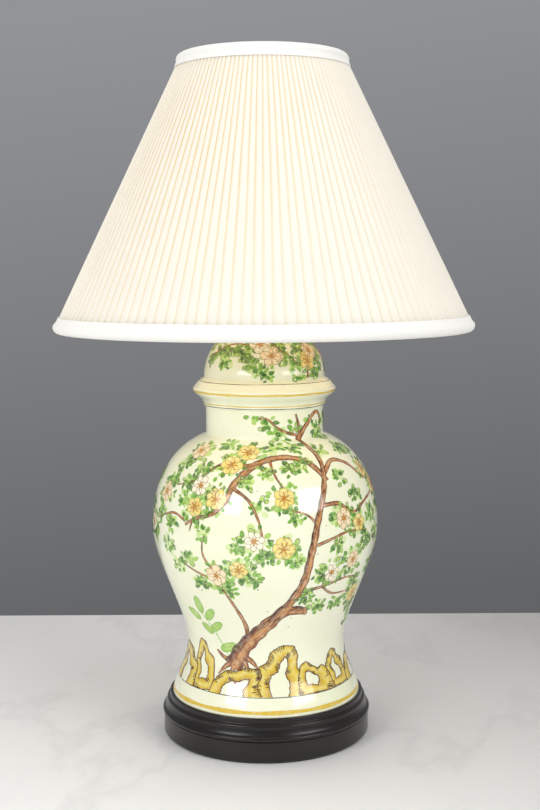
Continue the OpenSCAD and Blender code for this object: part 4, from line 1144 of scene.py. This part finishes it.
class LAMP_OT_jar(bpy.types.Operator):
    """Turns the glazed jar and its lid"""

    bl_idname = "table_lamp.jar"
    bl_label = "Jar and lid"

    def execute(self, context):
        jar = context.scene.lamp_jar
        foot, lip = JAR_LOW.z, JAR_HIGH.z
        outside = jar_outline(jar)
        inside = [(r - jar.wall, z) for r, z in outside[::4] if z > foot + 0.014]
        bottom, hole, hollow = foot + 0.01, 0.0075, foot + 0.003
        profile = (
            arc((jar.foot_radius - 0.002, foot + 0.002), 0.002, -90, 0, 5)
            + outside
            + arc((jar.neck_radius - LIP_ROUND, lip - LIP_ROUND), LIP_ROUND, 0, 90, 5)[1:]
            + arc((jar.neck_radius - jar.wall + LIP_ROUND, lip - LIP_ROUND), LIP_ROUND, 90, 180, 4)
            + inside[::-1]
            + [(inside[0][0] - 0.003, bottom), (hole, bottom), (hole, hollow)]
            + [(jar.foot_radius - 0.017, hollow), (jar.foot_radius - 0.014, foot)]
        )
        piece("jar", lathe(profile, 224), "glaze", "lamp_base", ["jar_body"])
        over = lid_outline(jar)
        collar = jar.neck_radius - jar.wall - 0.001
        bore = collar - 0.005
        dome = lip + jar.dome_foot
        inner_radius, inner_height = jar.dome_radius - 0.007, jar.dome_height - 0.007
        flat = math.degrees(math.acos((jar.cap_radius - 0.002) / inner_radius))
        under = arc((0, dome), inner_radius, 0, flat, 14, inner_height / inner_radius)
        profile = (
            over
            + [(hole, over[-1][1]), (hole, under[-1][1])]
            + under[::-1]
            + curve((inner_radius, dome), (0, -0.01), (0, 0.008), (bore, lip + 0.01), 6)
            + [(bore, lip - 0.012), (collar, lip - 0.012), (collar, lip)]
        )
        piece("lid", lathe(profile, 192), "glaze", "lamp_base", ["jar_lid"])
        return {"FINISHED"}


class LAMP_OT_bands(bpy.types.Operator):
    """Paints the gold bands and the thin dark lines"""

    bl_idname = "table_lamp.bands"
    bl_label = "Bands and lines"

    def execute(self, context):
        rows = (("jar_lines", jar_outline, JAR_RINGS), ("lid_lines", lid_outline, LID_RINGS))
        for number, (name, outline, rings) in enumerate(rows):
            paint = Painting(outline, number)
            for height, half, colour, lift, shake in rings:
                paint.ring(height, half, getattr(context.scene.lamp_jar, colour), lift, shake)
            paint.lay(name)
        return {"FINISHED"}


class LAMP_OT_rocks(bpy.types.Operator):
    """Paints the pierced rocks round the jar's foot"""

    bl_idname = "table_lamp.rocks"
    bl_label = "Rocks"

    def execute(self, context):
        paint, lines = Painting(jar_outline, 2), Painting(jar_outline, 2)
        for i, row in enumerate(ROCKS):
            rock(paint, lines, *row, 0.0001 + 0.00018 * (i % 2))
        paint.lay("jar_rocks")
        lines.lay("jar_rock_lines")
        return {"FINISHED"}


class LAMP_OT_tree(bpy.types.Operator):
    """Paints the tree with its roots and branches"""

    bl_idname = "table_lamp.tree"
    bl_label = "Tree"

    def execute(self, context):
        paint = Painting(jar_outline, 3)
        colours, cut = paint.colours, (0.0022, 0.0053)
        for side in SIDES:
            for thick, thin, points in LIMBS:
                limb(paint, paint.spots(points, side), thick / 1000, thin / 1000)
            for points in ROOTS:
                limb(paint, paint.spots(points, side), 0.0044, 0.0009, 0.00017)
            stump = paint.spots(STUMP, side)
            limb(paint, stump, 0.0062, 0.0052, 0.00018, True)
            lean = 0.15 * side[1]
            paint.dab(stump[-1], cut, lean, colours.bark_light, colours.bark, 0.0003, 12)
            paint.loop(stump[-1], cut, lean, colours.bark_dark, 0.00034, 0.0003, 1.0)
            limb(paint, paint.spots(STEM, side), 0.0052, 0.0024, 0.0002, True)
            limb(paint, paint.spots(TRUNK, side), 0.0098, 0.0064, 0.00022, True)
        paint.lay("jar_tree")
        return {"FINISHED"}


class LAMP_OT_leaves(bpy.types.Operator):
    """Paints the leaves on the jar and the lid"""

    bl_idname = "table_lamp.leaves"
    bl_label = "Leaves"

    def execute(self, context):
        paint, lines = Painting(jar_outline, 4), Painting(jar_outline, 4)
        draw, vein = paint.draw, paint.colours.vein
        for side in SIDES:
            foliage(paint, lines, side, BUSHES, 0.0115, BLOSSOMS, (20, 0.019, 0.008))
            sprig(paint, lines, side)
            for i in range(34):
                spot = paint.wall.spot(side[0] + draw.uniform(-88, 88), draw.uniform(140, 340))
                size = draw.uniform(0.0003, 0.0007)
                paint.dab(spot, (size, size * 1.3), draw.uniform(0, 3), vein, vein, 0.0002, 6)
        paint.lay("jar_leaves")
        lines.lay("jar_leaf_lines")
        paint, lines = Painting(lid_outline, 5), Painting(lid_outline, 5)
        for side in SIDES:
            for thick, points in LID_TWIGS:
                limb(paint, paint.spots(points, side), thick / 1000, thick / 2500, 0.00022)
            foliage(paint, lines, side, LID_BUSHES, 0.0085, LID_BLOSSOMS, (14, 0.0155, 0.007))
        paint.lay("lid_leaves")
        lines.lay("lid_leaf_lines")
        return {"FINISHED"}


class LAMP_OT_blossoms(bpy.types.Operator):
    """Paints the blossoms on the jar and the lid"""

    bl_idname = "table_lamp.blossoms"
    bl_label = "Blossoms"

    def execute(self, context):
        for name, outline, rows in (("jar", jar_outline, BLOSSOMS), ("lid", lid_outline, LID_BLOSSOMS)):
            petals, hearts = Painting(outline, 6), Painting(outline, 7)
            for side in SIDES:
                for degrees, height, tint in turned(rows, side):
                    turn = petals.draw.uniform(0, 6)
                    blossom(petals, hearts, petals.wall.spot(degrees, height), tint, turn)
            petals.lay(name + "_petals")
            hearts.lay(name + "_hearts")
        return {"FINISHED"}


# Length along the shade's cloth for each metre of its height
SLANT = 1.11
# How far out from the frame's cone the cloth's folds, the lining's faces and the trims' slots lie
FOLDS = 0.0027
LINING = (-0.0024, -0.0028)
SLOT_IN = -0.0031
SLOT_OUT = 0.0046
TOP_SLOT_OUT = 0.0038
# Thickness of the trims' cloth, radius of their rolls, and how near to a roll's middle they stay unpuckered
TRIM = 0.0009
ROLL = 0.0064
TOP_ROLL = 0.0059
CALM = 0.0052
# Across a pleat: share of its width, share of its depth, and how deep it lies in the fold, which sets how
# much painted shade and painted glow it gets
PLEAT = [
    (0.0, 0.0, 1.0), (0.1, 0.22, 0.95), (0.22, 0.46, 0.3), (0.38, 0.7, 0.0), (0.56, 0.88, 0.0),
    (0.72, 0.98, 0.0), (0.82, 1.0, 0.0), (0.88, 0.72, 0.0), (0.94, 0.28, 0.2), (1.0, 0.0, 1.0),
]


def cone_radius(shade, height):
    """Radius of the shade's frame at a height."""
    taper = (shade.bottom_radius - shade.top_radius) / (shade.top_height - shade.bottom_height)
    return shade.bottom_radius - (height - shade.bottom_height) * taper


def lay_out(bm, shade):
    """A UV map in metres: round the shade at its middle radius, and up its height."""
    uv = bm.loops.layers.uv.new("cloth")
    middle = (shade.top_radius + shade.bottom_radius) / 2
    for face in bm.faces:
        angles = [math.atan2(l.vert.co.y, l.vert.co.x) for l in face.loops]
        for l, a in zip(face.loops, angles):
            if max(angles) - min(angles) > math.pi and a < 0:
                a += math.tau
            l[uv].uv = (a * middle, l.vert.co.z * SLANT)


def pucker(v, depth, grain, rise):
    """Moves a point in or out by a noise, with one scale round the lamp's axis and one up it."""
    way = Vector((v.co.x, v.co.y, 0)).normalized()
    v.co += way * (depth * noise.noise(way * grain + Vector((0, 0, v.co.z * rise))))


class LAMP_OT_cloth(bpy.types.Operator):
    """Pleats the shade's cloth and hangs its lining"""

    bl_idname = "table_lamp.cloth"
    bl_label = "Pleated cloth and lining"

    def execute(self, context):
        shade = context.scene.lamp_shade
        low, high = shade.bottom_height - 0.0006, shade.top_height + 0.0006
        self.pleat(shade, low, high)
        self.line(shade, low, shade.top_height - 0.005)
        return {"FINISHED"}

    def pleat(self, shade, low, high):
        pitch = math.tau / shade.pleats
        bm = bmesh.new()
        fold = bm.verts.layers.float.new("fold")
        bmesh.ops.create_grid(bm, x_segments=len(PLEAT) - 1, y_segments=12, size=1.0)
        for v in bm.verts:
            share, crest, dark = PLEAT[round((v.co.x + 1) / 2 * (len(PLEAT) - 1))]
            up = (v.co.y + 1) / 2
            height = low + up * (high - low)
            depth = shade.pleat_depth + (shade.top_depth - shade.pleat_depth) * up
            radius = cone_radius(shade, height) + FOLDS + crest * depth
            v.co = (radius * math.cos(share * pitch), radius * math.sin(share * pitch), height)
            v[fold] = dark
        bmesh.ops.spin(
            bm, geom=bm.faces[:], cent=(0, 0, 0), axis=(0, 0, 1), dvec=(0, 0, 0),
            angle=math.tau, steps=shade.pleats, use_merge=False, use_duplicate=True,
        )
        bmesh.ops.remove_doubles(bm, verts=bm.verts[:], dist=2e-5)
        for v in bm.verts:
            angle, radius = math.atan2(v.co.y, v.co.x), math.hypot(v.co.x, v.co.y)
            place = Vector((math.cos(angle), math.sin(angle), 0))
            angle += pitch * 0.16 * noise.noise(place * 14 + Vector((0, 0, v.co.z * 5)))
            radius += 0.00016 * noise.noise(place * 20 + Vector((3, 1, v.co.z * 9)))
            v.co = (radius * math.cos(angle), radius * math.sin(angle), v.co.z)
        lay_out(bm, shade)
        area = sum(f.calc_area() for f in bm.faces)
        cloth = piece("pleated_cloth", bm, "cloth", "shade", ["shade_fabric"], 28)
        skin = cloth.modifiers.new("Thickness", "SOLIDIFY")
        skin.thickness, skin.offset = 0.00035, -1.0

    def line(self, shade, low, top):
        steps = 24
        heights = [low + (top - low) * i / steps for i in range(steps + 1)]
        profile = [(cone_radius(shade, z) + LINING[0], z) for z in heights]
        profile += [(cone_radius(shade, z) + LINING[1], z) for z in reversed(heights)]
        bm = lathe(profile, 240)
        for v in bm.verts:
            pucker(v, 0.00012, 9, 3)
        lay_out(bm, shade)
        lining = piece("lining_cloth", bm, "lining", "shade", ["shade_liner"], 60)
        # Laid flat, the lining is a sector between two radii, and the sheet it is cut from the box round it
        lean = math.atan2(shade.bottom_radius - shade.top_radius, shade.top_height - shade.bottom_height)
        far, near = (cone_radius(shade, z) / math.sin(lean) for z in (low, top))
        sector = math.pi * math.sin(lean)
        wide, tall = 2 * far * math.sin(min(sector, math.pi / 2)), far - near * math.cos(sector)
        area = sector * (far * far - near * near)


class LAMP_OT_trims(bpy.types.Operator):
    """Rolls the cloth trims round the two rings"""

    bl_idname = "table_lamp.trims"
    bl_label = "Rolled trims"

    def execute(self, context):
        shade = context.scene.lamp_shade

        def side(height, way):
            return cone_radius(shade, height) + way, height

        ring, level = shade.bottom_radius, shade.bottom_height
        centre = (ring - 0.0002, level + 0.0001)
        edge, turn, slot, roof = level + 0.011, centre[1] + 0.0066, level - 0.0011, level - 0.0021
        roll = (
            [side(edge, SLOT_OUT), side(slot, SLOT_OUT), (ring + 0.001, roof), (ring - 0.001, roof)]
            + [side(slot, SLOT_IN), side(edge, SLOT_IN)]
            + [side(edge, SLOT_IN - TRIM), side(turn, SLOT_IN - TRIM)]
            + arc(centre, ROLL, 172, 382, 34)
            + [side(turn, SLOT_OUT + TRIM), side(edge, SLOT_OUT + TRIM)]
        )
        self.make("bottom_trim", lathe(roll, 360), centre, shade, "shade_bottom_trim")

        ring, level = shade.top_radius, shade.top_height
        centre = (ring + 0.0004, level - 0.0003)
        edge, slot, roof = level - 0.009, level + 0.0011, level + 0.0021
        roll = (
            [side(edge, TOP_SLOT_OUT - 0.0004), side(edge, TOP_SLOT_OUT)]
            + [side(edge + 0.003, TOP_SLOT_OUT + 0.0007)]
            + arc(centre, TOP_ROLL, -18, 190, 34)
            + [side(edge, SLOT_IN - TRIM), side(edge, SLOT_IN), side(slot, SLOT_IN)]
            + [(ring - 0.001, roof), (ring + 0.001, roof), side(slot, TOP_SLOT_OUT)]
        )
        self.make("top_trim", lathe(roll, 240), centre, shade, "shade_top_trim")
        return {"FINISHED"}

    def make(self, name, bm, centre, shade, node):
        """Puckers the roll a little, as cloth does that is drawn round a wire."""
        for v in bm.verts:
            if math.hypot(math.hypot(v.co.x, v.co.y) - centre[0], v.co.z - centre[1]) > CALM:
                pucker(v, 0.00022, centre[0] * 150, 60)
        lay_out(bm, shade)
        piece(name, bm, "trim", "shade", [node], 50)


OPERATORS = (
    LAMP_OT_stage, LAMP_OT_hardware, LAMP_OT_base, LAMP_OT_jar, LAMP_OT_bands, LAMP_OT_rocks,
    LAMP_OT_tree, LAMP_OT_leaves, LAMP_OT_blossoms, LAMP_OT_cloth, LAMP_OT_trims,
)
GROUPS = {
    "lamp_jar": JarSizes, "lamp_paint": PaintColours, "lamp_shade": ShadeSizes,
    "lamp_finishes": LampFinishes, "lamp_studio": StudioSizes,
}


class LAMP_PT_panel(bpy.types.Panel):
    """Lists the lamp's sizes, colours and steps"""

    bl_idname = "LAMP_PT_panel"
    bl_label = "Table Lamp"
    bl_space_type = "VIEW_3D"
    bl_region_type = "UI"
    bl_category = "Table Lamp"

    def draw(self, context):
        for operator in OPERATORS:
            self.layout.operator(operator.bl_idname)
        for name, group in GROUPS.items():
            box = self.layout.box()
            for prop in group.__annotations__:
                box.prop(getattr(context.scene, name), prop)


def register():
    for item in (*GROUPS.values(), *OPERATORS, LAMP_PT_panel):
        bpy.utils.register_class(item)
    for name, group in GROUPS.items():
        setattr(bpy.types.Scene, name, bpy.props.PointerProperty(type=group))


def unregister():
    for name in GROUPS:
        delattr(bpy.types.Scene, name)
    for item in (LAMP_PT_panel, *reversed(OPERATORS), *reversed(GROUPS.values())):
        bpy.utils.unregister_class(item)


def main():
    register()
    for operator in OPERATORS:
        group, name = operator.bl_idname.split(".")
        getattr(getattr(bpy.ops, group), name)()


if __name__ == "__main__":
    main()
